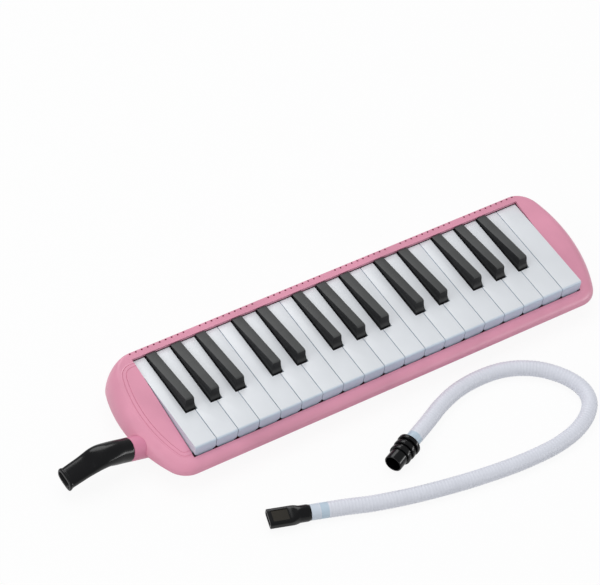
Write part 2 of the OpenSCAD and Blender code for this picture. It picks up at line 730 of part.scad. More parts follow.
// Wind chest with its deck, ports, hinge brackets and screw flanges
module wind_chest() {
    color(resin) difference() {
        union() {
            box([chest_x0, chest_x1], [chest_y0, chest_y1], [chest_z, deck_z]);
            box(flange_x, [flange_y0, flange_y1], [chest_z, chest_z + flange_t]);
            for (x = lug_x)
                box([x - lug_w / 2, x + lug_w / 2], [lug_y - lug_w / 2, chest_y0 + 0.5],
                    [chest_z, chest_z + flange_t]);
            for (x = brackets)
                box([x - bracket_t / 2, x + bracket_t / 2],
                    [pivot_y - bracket_w / 2, pivot_y + bracket_w / 2], [deck_z - 0.5, bracket_z]);
        }
        box([chest_x0 + chest_wall, chest_x1 - chest_wall],
            [chest_y0 + chest_wall, chest_y1 - chest_wall], [chest_z - 1, deck_z - deck_t]);
        for (x = levers) {
            box([x - port_w / 2, x + port_w / 2], [port_y1 - port_l, port_y1], [chest_z, deck_z + 1]);
            box([x - reed_slot_w / 2, x + reed_slot_w / 2],
                [port_y1 - reed_l(x), port_y1 - port_l / 2], [chest_z, deck_z - deck_t / 2]);
        }
        translate([0, pivot_y, pivot_z]) rod_x(chest_x0 - 1, chest_x1 + 1, axle_d + 2 * screw_clear);
        translate([0, inlet_at[0], inlet_at[1]])
            rod_x(chest_x0 - 1, chest_x0 + 2 * chest_wall, inlet_d + 2 * seat_clear);
        translate([0, drain_y, drain_z])
            rod_x(chest_x1 - 2 * chest_wall, chest_x1 + 1, drain_hole_d);
        for (x = lug_x)
            translate([x, lug_y, 0]) cylinder(h = deck_z, d = chest_screw[0] + 2 * hole_clear);
        for (x = cover_screw_x, y = cover_screw_y)
            translate([x, y, 0])
                cylinder(h = cover_z + cover_screw[1] + 0.3, d = cover_screw[0] + 2 * screw_clear);
        for (p = plate_screws)
            translate([p[0], p[1], 0])
                cylinder(h = reed_plate_z + reed_screw[1] + 0.2, d = reed_screw[0] + 2 * screw_clear);
    }
}

module chest_screws() {
    color(steel) for (x = lug_x)
        translate([x, lug_y, chest_z + flange_t]) mirror([0, 0, 1]) screw(chest_screw);
}

module cover_plate(z, t, frame) {
    difference() {
        union() {
            box([chest_x0, chest_x1], [chest_y0, chest_y1], [z, z + t]);
            box(flange_x, [flange_y0, flange_y1], [z, z + t]);
        }
        if (frame)
            box([chest_x0 + chest_wall, chest_x1 - chest_wall],
                [chest_y0 + chest_wall, chest_y1 - chest_wall], [z - 1, z + t + 1]);
        for (x = cover_screw_x, y = cover_screw_y)
            translate([x, y, z - 1]) cylinder(h = t + 2, d = cover_screw[0] + 2 * hole_clear);
    }
}

module chest_cover() {
    color(resin) cover_plate(cover_z, cover_t, false);
}

module cover_gasket() {
    color(rubber) cover_plate(gasket_z, gasket_t, true);
}

module cover_screws() {
    color(steel) for (x = cover_screw_x, y = cover_screw_y)
        translate([x, y, cover_z]) screw(cover_screw);
}

// Reeds under the deck
module reed_plate(x) {
    color(brass) difference() {
        box(x, plate_y, [reed_plate_z, reed_plate_z + reed_plate_t]);
        for (k = levers)
            if (k > x[0] && k < x[1])
                box([k - reed_slot_w / 2, k + reed_slot_w / 2],
                    [port_y1 - reed_l(k), port_y1], [reed_plate_z - 1, deck_z]);
        for (p = plate_screws)
            translate([p[0], p[1], reed_plate_z - 1])
                cylinder(h = reed_plate_t + 2, d = reed_screw[0] + 2 * hole_clear);
    }
}

module bass_reed_plate() {
    reed_plate(plate_x[0]);
}

module treble_reed_plate() {
    reed_plate(plate_x[1]);
}

module reed_tongues() {
    half_w = reed_slot_w / 2 - hole_clear;
    color(brass) for (x = levers) {
        root_y = port_y1 - reed_l(x);
        box([x - half_w, x + half_w], [root_y - reed_base, port_y1 - 0.3],
            [reed_plate_z - reed_t, reed_plate_z]);
        translate([x, root_y - reed_base / 2, reed_plate_z - 2 * reed_t])
            cylinder(h = 2 * reed_t, r = half_w - 0.1);
    }
}

module reed_plate_screws() {
    color(steel) for (p = plate_screws) translate([p[0], p[1], reed_plate_z]) screw(reed_screw);
}

// Key action
module key_axle() {
    color(steel) translate([0, pivot_y, pivot_z]) rod_x(chest_x0, chest_x1, axle_d);
}

module key_springs() {
    z = web_z - spring_t;
    foot = [[pivot_y - spring_foot, deck_z], [chest_y0 + chest_clear, deck_z],
        [spring_y + web_inset, z - spring_fall], [spring_y, z - spring_touch]];
    over = [for (i = [len(foot) - 1:-1:0]) foot[i] + [0, spring_t]];
    color(brass) for (x = levers)
        along_x(x - spring_w / 2, x + spring_w / 2) polygon(concat(foot, over));
}

module stop_felt(y, z) {
    color(felt) box([keys_x0, keys_x1], y, [z - felt_t, z]);
}

module white_stop_felt() {
    stop_felt(white_felt_y, white_felt_z);
}

module black_stop_felt() {
    stop_felt(black_felt_y, black_felt_z);
}

// The lever under a key cap: web, hinge boss and pad seat
module lever(x, front) {
    r = boss_d / 2;
    under_top = white_top_z - key_top_t / 2;
    side = concat(front, [
        [web_step_y + 1, web_z], [pivot_y - r, web_z], [pivot_y - r, pivot_z],
        [pivot_y + r, pivot_z], [pivot_y + r + 1, web_z - 1], [pad_y0, seat_z],
        [pad_y1, seat_z], [pad_y1, under_top]]);
    along_x(x - web_t / 2, x + web_t / 2) polygon(side);
    translate([0, pivot_y, pivot_z]) rod_x(x - boss_w / 2, x + boss_w / 2, boss_d);
    box([x - pad_w / 2, x + pad_w / 2], [pad_y0, pad_y1], [seat_z, seat_z + seat_t]);
}

module lever_bore(x) {
    translate([0, pivot_y, pivot_z]) rod_x(x - boss_w, x + boss_w, axle_d + 2 * axle_clear);
}

module valve_pad(x) {
    color(felt) box([x - pad_w / 2, x + pad_w / 2], [pad_y0, pad_y1],
        [deck_z + pad_rest, deck_z + pad_rest + pad_t]);
}

function white_plan(i, w) =
    let (
        x0 = white_x0(i) + w, x1 = white_x1(i) - w, t0 = tail_x0(i) + w, t1 = tail_x1(i) - w,
        y0 = front_y - 1, y1 = back_y + 1, yc = cut_y - w)
    concat([[x0, y0], [x1, y0]], t1 < x1 ? [[x1, yc], [t1, yc]] : [],
        [[t1, y1], [t0, y1]], t0 > x0 ? [[t0, yc], [x0, yc]] : []);

module white_cap(i) {
    z = white_top_z;
    r = white_edge_r;
    side = concat([[front_y, skirt_z]], arc([front_y + r, z - r], r, 180, 90, 5), [
        [cap_back_y, z], [cap_back_y, cap_z], [front_y + skirt_reach, cap_z],
        [front_y + skirt_foot, skirt_z]]);
    difference() {
        intersection() {
            along_x(white_x0(i) - 1, white_x1(i) + 1) polygon(side);
            linear_extrude(2 * z) polygon(white_plan(i, 0));
        }
        intersection() {
            box([white_x0(i), white_x1(i)], [front_y + key_wall, cap_back_y - key_wall],
                [0, z - key_top_t]);
            linear_extrude(2 * z) polygon(white_plan(i, key_wall));
        }
    }
}

module white_key(i) {
    x = white_lever_x(i);
    front = [[web_front_y, white_top_z - key_top_t / 2], [web_front_y, web_front_z + web_inset],
        [web_front_y + 2 * web_inset, web_front_z], [web_step_y, web_front_z]];
    color(ivory) difference() {
        union() {
            white_cap(i);
            lever(x, front);
        }
        lever_bore(x);
    }
    valve_pad(x);
}

// Side view of a black cap: flared foot, hollowed front and a top that falls to the back rail
module black_cap(x) {
    y = black_front_y;
    z = white_top_z;
    r = white_edge_r;
    hollow_h = black_front_h / 2;
    front = [for (t = [0 : 0.2 : 1]) [y + black_lean * sin(90 * t), z + 0.8 + hollow_h * t]];
    side = concat([[y, cap_z]], front,
        arc([y + black_lean + 0.3 + r, black_top_z - r], r, 180, 90, 4),
        [[cap_back_y, z + black_back_h], [cap_back_y, cap_z]]);
    section = [[x - black_w / 2, cap_z], [x + black_w / 2, cap_z], [x + black_w / 2, z],
        [x + black_top_w / 2, black_top_z + 0.1], [x - black_top_w / 2, black_top_z + 0.1],
        [x - black_w / 2, z]];
    intersection() {
        along_x(x - black_w, x + black_w) polygon(side);
        along_y(y - 1, cap_back_y + 1) polygon(section);
    }
}

module black_key(j) {
    x = black_levers[j];
    front = [[web_step_y, white_top_z - key_top_t / 2], [web_step_y, cap_z]];
    color(ebony) difference() {
        union() {
            black_cap(x);
            lever(x, front);
        }
        lever_bore(x);
    }
    valve_pad(x);
}

// Drain at the chest's right end
module drain_button() {
    collar_x = chest_x1 + spring_room;
    color(pink) translate([0, drain_y, drain_z]) {
        rod_x(collar_x, collar_x + collar_t, collar_d);
        rod_x(collar_x, body_l / 2 - button_inset, button_d);
        rod_x(chest_x1 - chest_wall - valve_t, collar_x + 1, stem_d);
    }
}

module drain_valve() {
    x = chest_x1 - chest_wall - pad_rest;
    color(rubber) translate([0, drain_y, drain_z]) difference() {
        rod_x(x - valve_t, x, valve_d);
        rod_x(x - 2 * valve_t, x + 1, stem_d);
    }
}

function coil_ring(t, r, turns, x0, x1) =
    let (
        a = 360 * turns * t,
        rise = (x1 - x0) / (360 * turns),
        c = [mix(x0, x1, t), r * cos(a), r * sin(a)],
        way = unit([rise * 180 / PI, -r * sin(a), r * cos(a)]),
        out = [0, cos(a), sin(a)],
        side = cross(way, out))
    [for (i = [0:5]) c + drain_wire / 2 * (cos(60 * i) * out + sin(60 * i) * side)];

module drain_spring() {
    steps = 10 * drain_turns;
    gap = drain_wire / 2 + 0.1;
    r = (drain_spring_d - drain_wire) / 2;
    color(steel) translate([0, drain_y, drain_z])
        skin([for (i = [0:steps])
            coil_ring(i / steps, r, drain_turns, chest_x1 + gap, chest_x1 + spring_room - gap)]);
}

// Hose: a smooth curve through the route, measured along its length
function bezier(i, t) =
    let (
        n = len(hose_route) - 1,
        p = hose_route,
        a = p[i], d = p[i + 1],
        b = a + (d - p[max(i - 1, 0)]) / 6,
        c = d - (p[min(i + 2, n)] - a) / 6,
        u = 1 - t)
    u * u * u * a + 3 * u * u * t * b + 3 * u * t * t * c + t * t * t * d;
hose_fine = concat(
    [for (i = [0:len(hose_route) - 2], k = [0:fine_steps - 1]) bezier(i, k / fine_steps)],
    [hose_route[len(hose_route) - 1]]);
function lengths(p, i = 0, run = 0) =
    i == len(p) - 1 ? [run] : concat([run], lengths(p, i + 1, run + norm(p[i + 1] - p[i])));
hose_run = lengths(hose_fine);
hose_l = hose_run[len(hose_run) - 1];
hose_x = [for (i = [0:len(hose_run) - 1]) [hose_run[i], hose_fine[i][0]]];
hose_y = [for (i = [0:len(hose_run) - 1]) [hose_run[i], hose_fine[i][1]]];
hose_z = [for (i = [0:len(hose_run) - 1]) [hose_run[i], hose_fine[i][2]]];
function hose_at(s) = [lookup(s, hose_x), lookup(s, hose_y), lookup(s, hose_z)];
function hose_way(s) =
    let (d = hose_d / 4) unit(hose_at(min(s + d, hose_l)) - hose_at(max(s - d, 0)));
function hose_ring(s, r) =
    let (way = hose_way(s), side = unit(cross(way, [0, 0, 1])), up = cross(way, side))
    [for (i = [0:hose_sides - 1])
        let (a = 360 * (i + 0.5) / hose_sides)
        hose_at(s) + r * (cos(a) * side + sin(a) * up)];
rib_pitch = (hose_l - adapter_cuff - blade_cuff) / hose_ribs;
rib_stations = flat([for (i = [0:hose_ribs - 1])
    let (s = adapter_cuff + i * rib_pitch)
    [[s, hose_d / 2 - rib_depth], [s + rib_pitch / 2, hose_d / 2]]]);
hose_stations = concat([[0, cuff_d / 2], [adapter_cuff - 0.5, cuff_d / 2]], rib_stations,
    [[hose_l - blade_cuff, hose_d / 2 - rib_depth], [hose_l - blade_cuff + 0.5, cuff_d / 2],
        [hose_l, cuff_d / 2]]);

module blow_hose() {
    color(frost) tube_skin(
        [for (p = hose_stations) hose_ring(p[0], p[1])],
        [for (i = [0:bore_rings]) hose_ring(hose_l * i / bore_rings, hose_bore / 2)]);
}

// Puts a piece drawn along +Z at one end of the hose, looking away from it
module on_hose(s) {
    way = s > 0 ? hose_way(s) : -hose_way(s);
    translate(hose_at(s)) rotate([0, 90, atan2(way[1], way[0])]) children();
}

module hose_adapter() {
    tail_r = (hose_bore - 0.4) / 2 * cos(180 / hose_sides);
    spigot_r = socket_bore / 2 - spigot_clear;
    ridged_l = 2 * ridge_pitch + ridge_w;
    end = ridged_l + nozzle_l;
    bevel = 0.8;
    ridges = [for (i = [0:2])
        let (
            s = i * ridge_pitch,
            r = ridge_d / 2 - i * ridge_step,
            g = groove_d / 2,
            b = min(bevel, (r - g) / 2))
        each [[g, s], [r - b, s], [r, s + b], [r, s + ridge_w - b], [r - b, s + ridge_w], [g, s + ridge_w]]];
    color(jet) on_hose(0) rotate_extrude() polygon(concat(
        [[tail_r - 1, -tail_l], [tail_r, -tail_l], [tail_r, 0]], ridges,
        [[spigot_r, ridged_l], [spigot_r, end - bevel], [spigot_r - bevel / 2, end],
            [spigot_r - nozzle_wall, end], [spigot_r - nozzle_wall, ridged_l],
            [tail_r - 1, ridged_l - ridge_w]]));
}

// Sections of the hose's mouthpiece go from round to a flat rounded bar
function bar_ring(s, half_w, half_t, power) =
    [for (i = [0:23])
        [half_t * squared(cos(15 * i), power), half_w * squared(sin(15 * i), power), s]];

module hose_mouthpiece() {
    collar_l = 13;
    tail_r = (hose_bore - 0.4) / 2 * cos(180 / hose_sides);
    shape = [for (t = [0 : 0.25 : 1]) smooth(t)];
    outer = concat(
        [bar_ring(0, collar_r - 0.6, collar_r - 0.6, 2), bar_ring(2, collar_r, collar_r, 2)],
        [for (k = shape) bar_ring(mix(collar_l - 5, collar_l + 4, k), mix(collar_r, tip_w / 2, k),
            mix(collar_r, tip_t / 2, k), mix(2, 6, k))],
        [bar_ring(tip_l - 1.5, tip_w / 2, tip_t / 2, 6), bar_ring(tip_l, tip_w / 2, tip_t / 2, 6)]);
    inner = [
        bar_ring(0, tail_r - 1, tail_r - 1, 2),
        bar_ring(collar_l - 5, tail_r - 1, tail_r - 1, 2),
        bar_ring(collar_l + 4, tip_w / 2 - 2, tip_t / 2 - 1.4, 5),
        bar_ring(tip_l, tip_w / 2 - 2, tip_t / 2 - 1.4, 5)];
    color(jet) on_hose(hose_l) {
        difference() {
            tube_skin(outer, inner);
            box([-tip_t, -tip_t / 2 + 0.5], [-tip_w / 2 + 3, tip_w / 2 - 3], [collar_l + 4, tip_l - 3]);
        }
        rotate_extrude() polygon([
            [tail_r - 1.1, 0.6], [tail_r - 1.1, -tail_l], [tail_r, -tail_l], [tail_r, 0.6]]);
    }
}

upper_case();
lower_case();
case_screws();
blow_socket();
air_duct();
mouthpiece();
wind_chest();
chest_screws();
chest_cover();
cover_gasket();
cover_screws();
bass_reed_plate();
treble_reed_plate();
reed_tongues();
reed_plate_screws();
key_axle();
key_springs();
white_stop_felt();
black_stop_felt();
drain_button();
drain_valve();
drain_spring();
blow_hose();
hose_adapter();
hose_mouthpiece();
for (i = [0:white_count - 1])
    white_key(i);
for (j = [0:len(blacks) - 1])
    black_key(j);
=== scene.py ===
"""Looks of a melodica with 32 keys, its short mouthpiece and its ribbed blowing hose.

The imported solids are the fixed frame. Shells, keys, socket, mouthpieces and hose get smoother
pieces that stand for their solids, and the works inside keep their solids with fuller finishes.
Sizes are in millimetres until a mesh is made, and meshes are in metres.
"""

import logging
import math
from collections.abc import Callable, Iterator, Sequence
from contextlib import contextmanager
from dataclasses import dataclass, field
from enum import Enum

import bmesh
import bpy
from mathutils import Matrix, Vector


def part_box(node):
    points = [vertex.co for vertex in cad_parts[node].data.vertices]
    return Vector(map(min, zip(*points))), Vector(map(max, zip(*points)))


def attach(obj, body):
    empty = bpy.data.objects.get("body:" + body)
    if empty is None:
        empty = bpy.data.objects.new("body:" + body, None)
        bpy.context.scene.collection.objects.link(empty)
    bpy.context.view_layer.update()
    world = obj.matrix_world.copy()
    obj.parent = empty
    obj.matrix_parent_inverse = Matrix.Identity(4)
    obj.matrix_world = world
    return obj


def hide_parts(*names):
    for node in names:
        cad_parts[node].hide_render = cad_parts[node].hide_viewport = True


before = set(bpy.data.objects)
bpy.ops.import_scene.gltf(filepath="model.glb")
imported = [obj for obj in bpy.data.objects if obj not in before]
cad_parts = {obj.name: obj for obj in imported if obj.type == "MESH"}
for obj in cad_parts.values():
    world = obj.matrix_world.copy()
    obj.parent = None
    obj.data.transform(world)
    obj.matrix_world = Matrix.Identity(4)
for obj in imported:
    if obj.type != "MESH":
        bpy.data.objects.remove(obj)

MM = 0.001
ROOT = "case"
LOG = logging.getLogger("melodica")
Pair = tuple[float, float]
Vec = tuple[float, float, float]
Ring = list[Vec]
Faces = list[tuple[int, ...]]
Shape = tuple[list[Vec], Faces]
Piece = bpy.types.Object
Socket = bpy.types.NodeSocket

# Middle of the blow socket's rim in millimetres, its tilt in degrees, and the range of most noise
SOCKET_AT = (-219.4, -14.5, 20.7)
SOCKET_TILT = 16.0
NOISE_SPAN = (0.3, 0.7)


class Slot(Enum):
    """The record's material slots."""

    CASE_PINK = "case_pink"
    KEY_WHITE = "key_white"
    KEY_BLACK = "key_black"
    MOUTH_BLACK = "mouth_black"
    HOSE_FROST = "hose_frost"
    INNER_RESIN = "inner_resin"
    REED_BRASS = "reed_brass"
    SPRING_BRASS = "spring_brass"
    STEEL = "steel"
    FELT = "felt"
    RUBBER = "rubber"


def linear(colour: Sequence[float]) -> tuple[float, float, float, float]:
    """Turns an 8-bit display colour into a scene colour.

    Args:
        colour: Red, green and blue from 0 to 255.

    Returns:
        The linear colour with an alpha of 1.
    """
    parts = [c / 255 for c in colour]
    done = [c / 12.92 if c <= 0.04045 else ((c + 0.055) / 1.055) ** 2.4 for c in parts]
    return done[0], done[1], done[2], 1.0


def mix(a: float, b: float, t: float) -> float:
    """Returns the value that lies t of the way from a to b."""
    return a + (b - a) * t


def turns(steps: int) -> list[float]:
    """Returns the angles of evenly spread points round a circle."""
    return [2 * math.pi * i / steps for i in range(steps)]


def circle(r: float, z: float, steps: int) -> Ring:
    """Returns a ring of that radius round the Z axis, at a height."""
    return [(r * math.cos(a), r * math.sin(a), z) for a in turns(steps)]


def quarter(steps: int) -> list[Pair]:
    """Returns how far a quarter round of radius 1 lies from its two tangents at each step."""
    angles = [math.radians(90 / steps * k) for k in range(steps + 1)]
    return [(1 - math.cos(a), 1 - math.sin(a)) for a in angles]


def oval(half_t: float, half_w: float, power: float, steps: int) -> list[Pair]:
    """Draws an oval.

    Args:
        half_t: Half of its thickness.
        half_w: Half of its width.
        power: 2 for an ellipse, and more for a squarer bar.
        steps: Points round it.

    Returns:
        Points across the thickness and the width.
    """
    def bent(v: float) -> float:
        """Returns a sine or cosine bent for the oval's power."""
        return math.copysign(abs(v) ** (2 / power), v)

    return [(half_t * bent(math.cos(a)), half_w * bent(math.sin(a))) for a in turns(steps)]


def smooth_step(t: float) -> float:
    """Returns t held between 0 and 1 and eased at both ends."""
    u = min(max(t, 0.0), 1.0)
    return u * u * (3 - 2 * u)


class NodeGraph:
    """A node tree, with short ways to add and join its nodes."""

    def __init__(self, tree: bpy.types.NodeTree) -> None:
        """Empties a tree to fill it anew.

        Args:
            tree: The tree.
        """
        self.tree = tree
        tree.nodes.clear()

    def give(self, target: Socket, value: object) -> None:
        """Joins a socket to an input, or sets a plain value on it."""
        if isinstance(value, Socket):
            self.tree.links.new(value, target)
        else:
            target.default_value = value

    def add(self, kind: str, inputs: dict[object, object] | None = None,
            **settings: object) -> bpy.types.Node:
        """Adds a node.

        Args:
            kind: The node's type.
            inputs: Values or sockets for its inputs, by name or place.
            settings: Its own properties.

        Returns:
            The node.
        """
        node = self.tree.nodes.new(kind)
        for name, value in settings.items():
            setattr(node, name, value)
        for key, value in (inputs or {}).items():
            self.give(node.inputs[key], value)
        return node

    def math(self, operation: str, *values: object) -> Socket:
        """Returns the result of a math node on values or sockets."""
        node = self.add("ShaderNodeMath", dict(enumerate(values)), operation=operation)
        return node.outputs[0]


class ShaderGraph(NodeGraph):
    """A material's node tree round one Principled shader."""

    def __init__(self, name: str) -> None:
        """Starts the material.

        Args:
            name: The material's name.
        """
        self.material = bpy.data.materials.new(name)
        self.material.use_nodes = True
        super().__init__(self.material.node_tree)
        self.shader = self.add("ShaderNodeBsdfPrincipled")
        self.add("ShaderNodeOutputMaterial", {"Surface": self.shader.outputs["BSDF"]})
        self.place = self.add("ShaderNodeTexCoord").outputs["Object"]

    def noise(self, size: float, detail: float, stretch: Vec = (1, 1, 1)) -> Socket:
        """Adds a noise pattern on object coordinates.

        Args:
            size: Width of one feature in millimetres.
            detail: How many finer layers the noise has.
            stretch: How many times longer the features are along each axis.

        Returns:
            The noise value's socket.
        """
        mapping = self.add("ShaderNodeMapping", {
            "Vector": self.place, "Scale": [1 / s for s in stretch]})
        return self.add("ShaderNodeTexNoise", {
            "Vector": mapping.outputs["Vector"], "Scale": 1 / (size * MM),
            "Detail": detail}).outputs["Fac"]

    def span(self, value: Socket, source: Pair = NOISE_SPAN,
             target: Pair = (0, 1)) -> Socket:
        """Maps a value's range on another one.

        Args:
            value: The socket to map.
            source: Lowest and highest value that is read.
            target: What those two become.

        Returns:
            The mapped value's socket.
        """
        limits = dict(zip(("From Min", "From Max", "To Min", "To Max"), (*source, *target)))
        return self.add("ShaderNodeMapRange", {"Value": value, **limits}).outputs["Result"]

    def blend(self, factor: Socket, low: object, high: object) -> Socket:
        """Mixes two colours, or colour sockets, by a value.

        Args:
            factor: The socket that mixes them.
            low: Colour at 0.
            high: Colour at 1.

        Returns:
            The mixed colour's socket.
        """
        colours = {0: factor, 6: low, 7: high}
        return self.add("ShaderNodeMix", colours, data_type="RGBA").outputs[2]

    def attribute(self, name: str) -> Socket:
        """Returns the value of a mesh attribute."""
        return self.add("ShaderNodeAttribute", attribute_name=name).outputs["Fac"]

    def bump(self, height: Socket, depth: float) -> Socket:
        """Returns the normal of a bump, whose height at a value of 1 is depth in millimetres."""
        inputs = {"Strength": 1.0, "Distance": depth * MM, "Height": height}
        return self.add("ShaderNodeBump", inputs).outputs["Normal"]

    def fit(self, **inputs: object) -> bpy.types.Material:
        """Sets the shader's inputs of those names, with _ for a space, and returns the material."""
        for name, value in inputs.items():
            self.give(self.shader.inputs[name.replace("_", " ")], value)
        return self.material


@dataclass(frozen=True)
class MouldedPlastic:
    """Injection-moulded plastic with a fine grain, faint mottling and rubbed patches.

    Attributes:
        name: The material's name.
        colour: Main display colour.
        shaded: Colour where the piece's "shade" attribute is 1: painted bluish shade on
        the fronts and sides of white keys and, at half strength, on the blow socket, a
        painted sheen on the tops of black keys, and a lighter brown on the floor of the
        hose mouthpiece's sunk panel.
        roughness: Middle roughness.
        spread: How far the roughness strays from its middle.
        mottle: How far the colour strays, as a share.
        grain: Width of the moulded grain in millimetres.
        relief: Depth of the grain in millimetres.
        gloss: Strength of the mirror-like part, where 0.5 is that of bare plastic.
    """

    name: str
    colour: Vec
    shaded: Vec | None = None
    roughness: float = 0.35
    spread: float = 0.06
    mottle: float = 0.03
    grain: float = 0.7
    relief: float = 0.01
    gloss: float = 0.5

    def build(self) -> bpy.types.Material:
        """Returns the finished material."""
        graph = ShaderGraph(self.name)
        broad = graph.noise(38, 2)
        fine = graph.noise(self.grain, 2)
        rubbed = graph.span(graph.noise(9, 4, (5, 1, 1)), (0.56, 0.74))
        base = self.toned(graph, broad, self.colour)
        # Second colour by the "shade" attribute: painted shade and sheen on keys and socket,
        # lighter brown in a sunk panel.
        if self.shaded is not None:
            shaded = self.toned(graph, broad, self.shaded)
            base = graph.blend(graph.attribute("shade"), base, shaded)
        level = graph.span(broad, target=(self.roughness - self.spread, self.roughness))
        worn = graph.math("MULTIPLY_ADD", rubbed, self.spread, level)
        return graph.fit(Base_Color=base, Roughness=worn, Normal=graph.bump(fine, self.relief),
                         IOR=1.5, Specular_IOR_Level=self.gloss)

    def toned(self, graph: ShaderGraph, broad: Socket,
              colour: Vec) -> Socket:
        """Varies a colour over the piece.

        Args:
            graph: The material's graph.
            broad: Slow noise that the colour follows.
            colour: Middle display colour.

        Returns:
            The varied colour's socket.
        """
        low = linear([c * (1 - self.mottle) for c in colour])
        high = linear([min(c * (1 + self.mottle), 255) for c in colour])
        return graph.blend(graph.span(broad), low, high)


@dataclass(frozen=True)
class DrawnMetal:
    """Bare metal with fine drawing lines along X and dulled patches."""

    name: str
    colour: Vec
    dull: Vec
    roughness: float = 0.3

    def build(self) -> bpy.types.Material:
        """Returns the finished material."""
        graph = ShaderGraph(self.name)
        lines = graph.noise(0.25, 2, (40, 1, 1))
        patches = graph.span(graph.noise(6, 4), (0.4, 0.75))
        rough = graph.span(lines, target=(self.roughness - 0.08, self.roughness + 0.1))
        base = graph.blend(patches, linear(self.colour), linear(self.dull))
        return graph.fit(Base_Color=base, Roughness=rough, Normal=graph.bump(lines, 0.004),
                         Metallic=1.0)


@dataclass(frozen=True)
class PressedFelt:
    """Wool felt with matted fibres."""

    name: str
    colour: Vec
    pale: Vec

    def build(self) -> bpy.types.Material:
        """Returns the finished material."""
        graph = ShaderGraph(self.name)
        fibres = graph.noise(0.35, 5, (3, 1, 1))
        base = graph.blend(graph.span(fibres, (0.35, 0.7)), linear(self.colour), linear(self.pale))
        return graph.fit(Base_Color=base, Normal=graph.bump(fibres, 0.15), Roughness=0.95,
                         Sheen_Weight=0.4, Sheen_Roughness=0.5)


@dataclass(frozen=True)
class MilkyTube:
    """Soft milky plastic of the hose, clouded and bluer where a tail shows through.

    Attributes:
        name: The material's name.
        colour: Main display colour.
        thick: Colour where the piece's "shade" attribute is 1.
    """

    name: str
    colour: Vec
    thick: Vec

    def build(self) -> bpy.types.Material:
        """Returns the finished material."""
        graph = ShaderGraph(self.name)
        cloud = graph.span(graph.noise(14, 3))
        haze = graph.blend(cloud, linear([c * 0.985 for c in self.colour]), linear(self.colour))
        base = graph.blend(graph.attribute("shade"), haze, linear(self.thick))
        rough = graph.span(graph.noise(3, 3), target=(0.28, 0.42))
        return graph.fit(Base_Color=base, Roughness=rough, IOR=1.43, Specular_IOR_Level=0.3)


class Finishes:
    """The finishes of the melodica, built once each."""

    def __init__(self) -> None:
        """Builds every finish."""
        made = {
            # Its second pink is painted shade, put at half strength on the blow socket.
            Slot.CASE_PINK: MouldedPlastic("pink_case_plastic", (222, 150, 173), (202, 112, 148),
                                           roughness=0.38, gloss=0.4),
            # Its bluish second colour is painted shade on the fronts and sides of the white keys.
            Slot.KEY_WHITE: MouldedPlastic("white_key_plastic", (222, 225, 229), (196, 212, 228),
                                           roughness=0.34, mottle=0.012, grain=0.4, relief=0.006),
            # Its grey second colour is a painted sheen on the tops of the black keys.
            Slot.KEY_BLACK: MouldedPlastic("black_key_plastic", (11, 11, 13), (68, 69, 69),
                                           roughness=0.5, spread=0.1, mottle=0.08, grain=0.5,
                                           relief=0.05, gloss=0.25),
            Slot.MOUTH_BLACK: MouldedPlastic("black_mouthpiece_plastic", (6, 6, 8), (46, 43, 37),
                                             roughness=0.22, spread=0.05, mottle=0.1, grain=0.9,
                                             relief=0.0003, gloss=0.25),
            Slot.HOSE_FROST: MilkyTube("milky_hose", (221, 223, 232), (188, 205, 219)),
            Slot.INNER_RESIN: MouldedPlastic("inner_resin", (201, 196, 184), roughness=0.45),
            Slot.REED_BRASS: DrawnMetal("reed_brass", (196, 164, 88), (150, 116, 62)),
            Slot.SPRING_BRASS: DrawnMetal("spring_brass", (205, 172, 96), (160, 126, 70), 0.26),
            Slot.STEEL: DrawnMetal("plated_steel", (190, 192, 196), (150, 152, 156), 0.28),
            Slot.FELT: PressedFelt("stop_felt", (110, 40, 46), (142, 64, 68)),
            Slot.RUBBER: MouldedPlastic("grey_rubber", (58, 58, 60), roughness=0.8, grain=0.3,
                                        relief=0.03),
        }
        self.materials = {slot: finish.build() for slot, finish in made.items()}

    def of(self, slot: Slot) -> bpy.types.Material:
        """Returns a slot's material."""
        return self.materials[slot]


def linked(name: str, data: bpy.types.ID) -> Piece:
    """Returns a new object for that data, linked to the scene."""
    made = bpy.data.objects.new(name, data)
    bpy.context.scene.collection.objects.link(made)
    return made


def new_piece(name: str, shape: Shape, scale: float = MM) -> Piece:
    """Makes a mesh object at the origin.

    Args:
        name: The piece's name.
        shape: Points and faces.
        scale: Metres of one unit of the points.

    Returns:
        The linked object.
    """
    mesh = bpy.data.meshes.new(name)
    mesh.from_pydata([tuple(c * scale for c in p) for p in shape[0]], [], shape[1])
    mesh.update()
    return linked(name, mesh)


@contextmanager
def reshaped(mesh: bpy.types.Mesh,
             source: bpy.types.Mesh | None = None) -> Iterator[bmesh.types.BMesh]:
    """Opens a mesh for edits and writes them back.

    Args:
        mesh: The mesh that is written.
        source: The mesh that is read, if it is another one.

    Yields:
        The open mesh.
    """
    shape = bmesh.new()
    shape.from_mesh(source or mesh)
    yield shape
    shape.to_mesh(mesh)
    shape.free()


def bake(piece: Piece) -> None:
    """Turns a piece's live modifiers into its own plain mesh."""
    bpy.context.view_layer.update()
    graph = bpy.context.evaluated_depsgraph_get()
    mesh = bpy.data.meshes.new_from_object(piece.evaluated_get(graph))
    spent = piece.data
    piece.modifiers.clear()
    piece.data = mesh
    bpy.data.meshes.remove(spent)
    mesh.name = piece.name


def drop(piece: Piece) -> None:
    """Deletes a helper object and its mesh."""
    mesh = piece.data
    bpy.data.objects.remove(piece)
    bpy.data.meshes.remove(mesh)


def cut(piece: Piece, cutter: Piece) -> None:
    """Takes a cutter's volume out of a piece and deletes the cutter."""
    knife = piece.modifiers.new("cut", "BOOLEAN")
    knife.operation = "DIFFERENCE"
    knife.solver = "EXACT"
    knife.object = cutter
    bake(piece)
    drop(cutter)


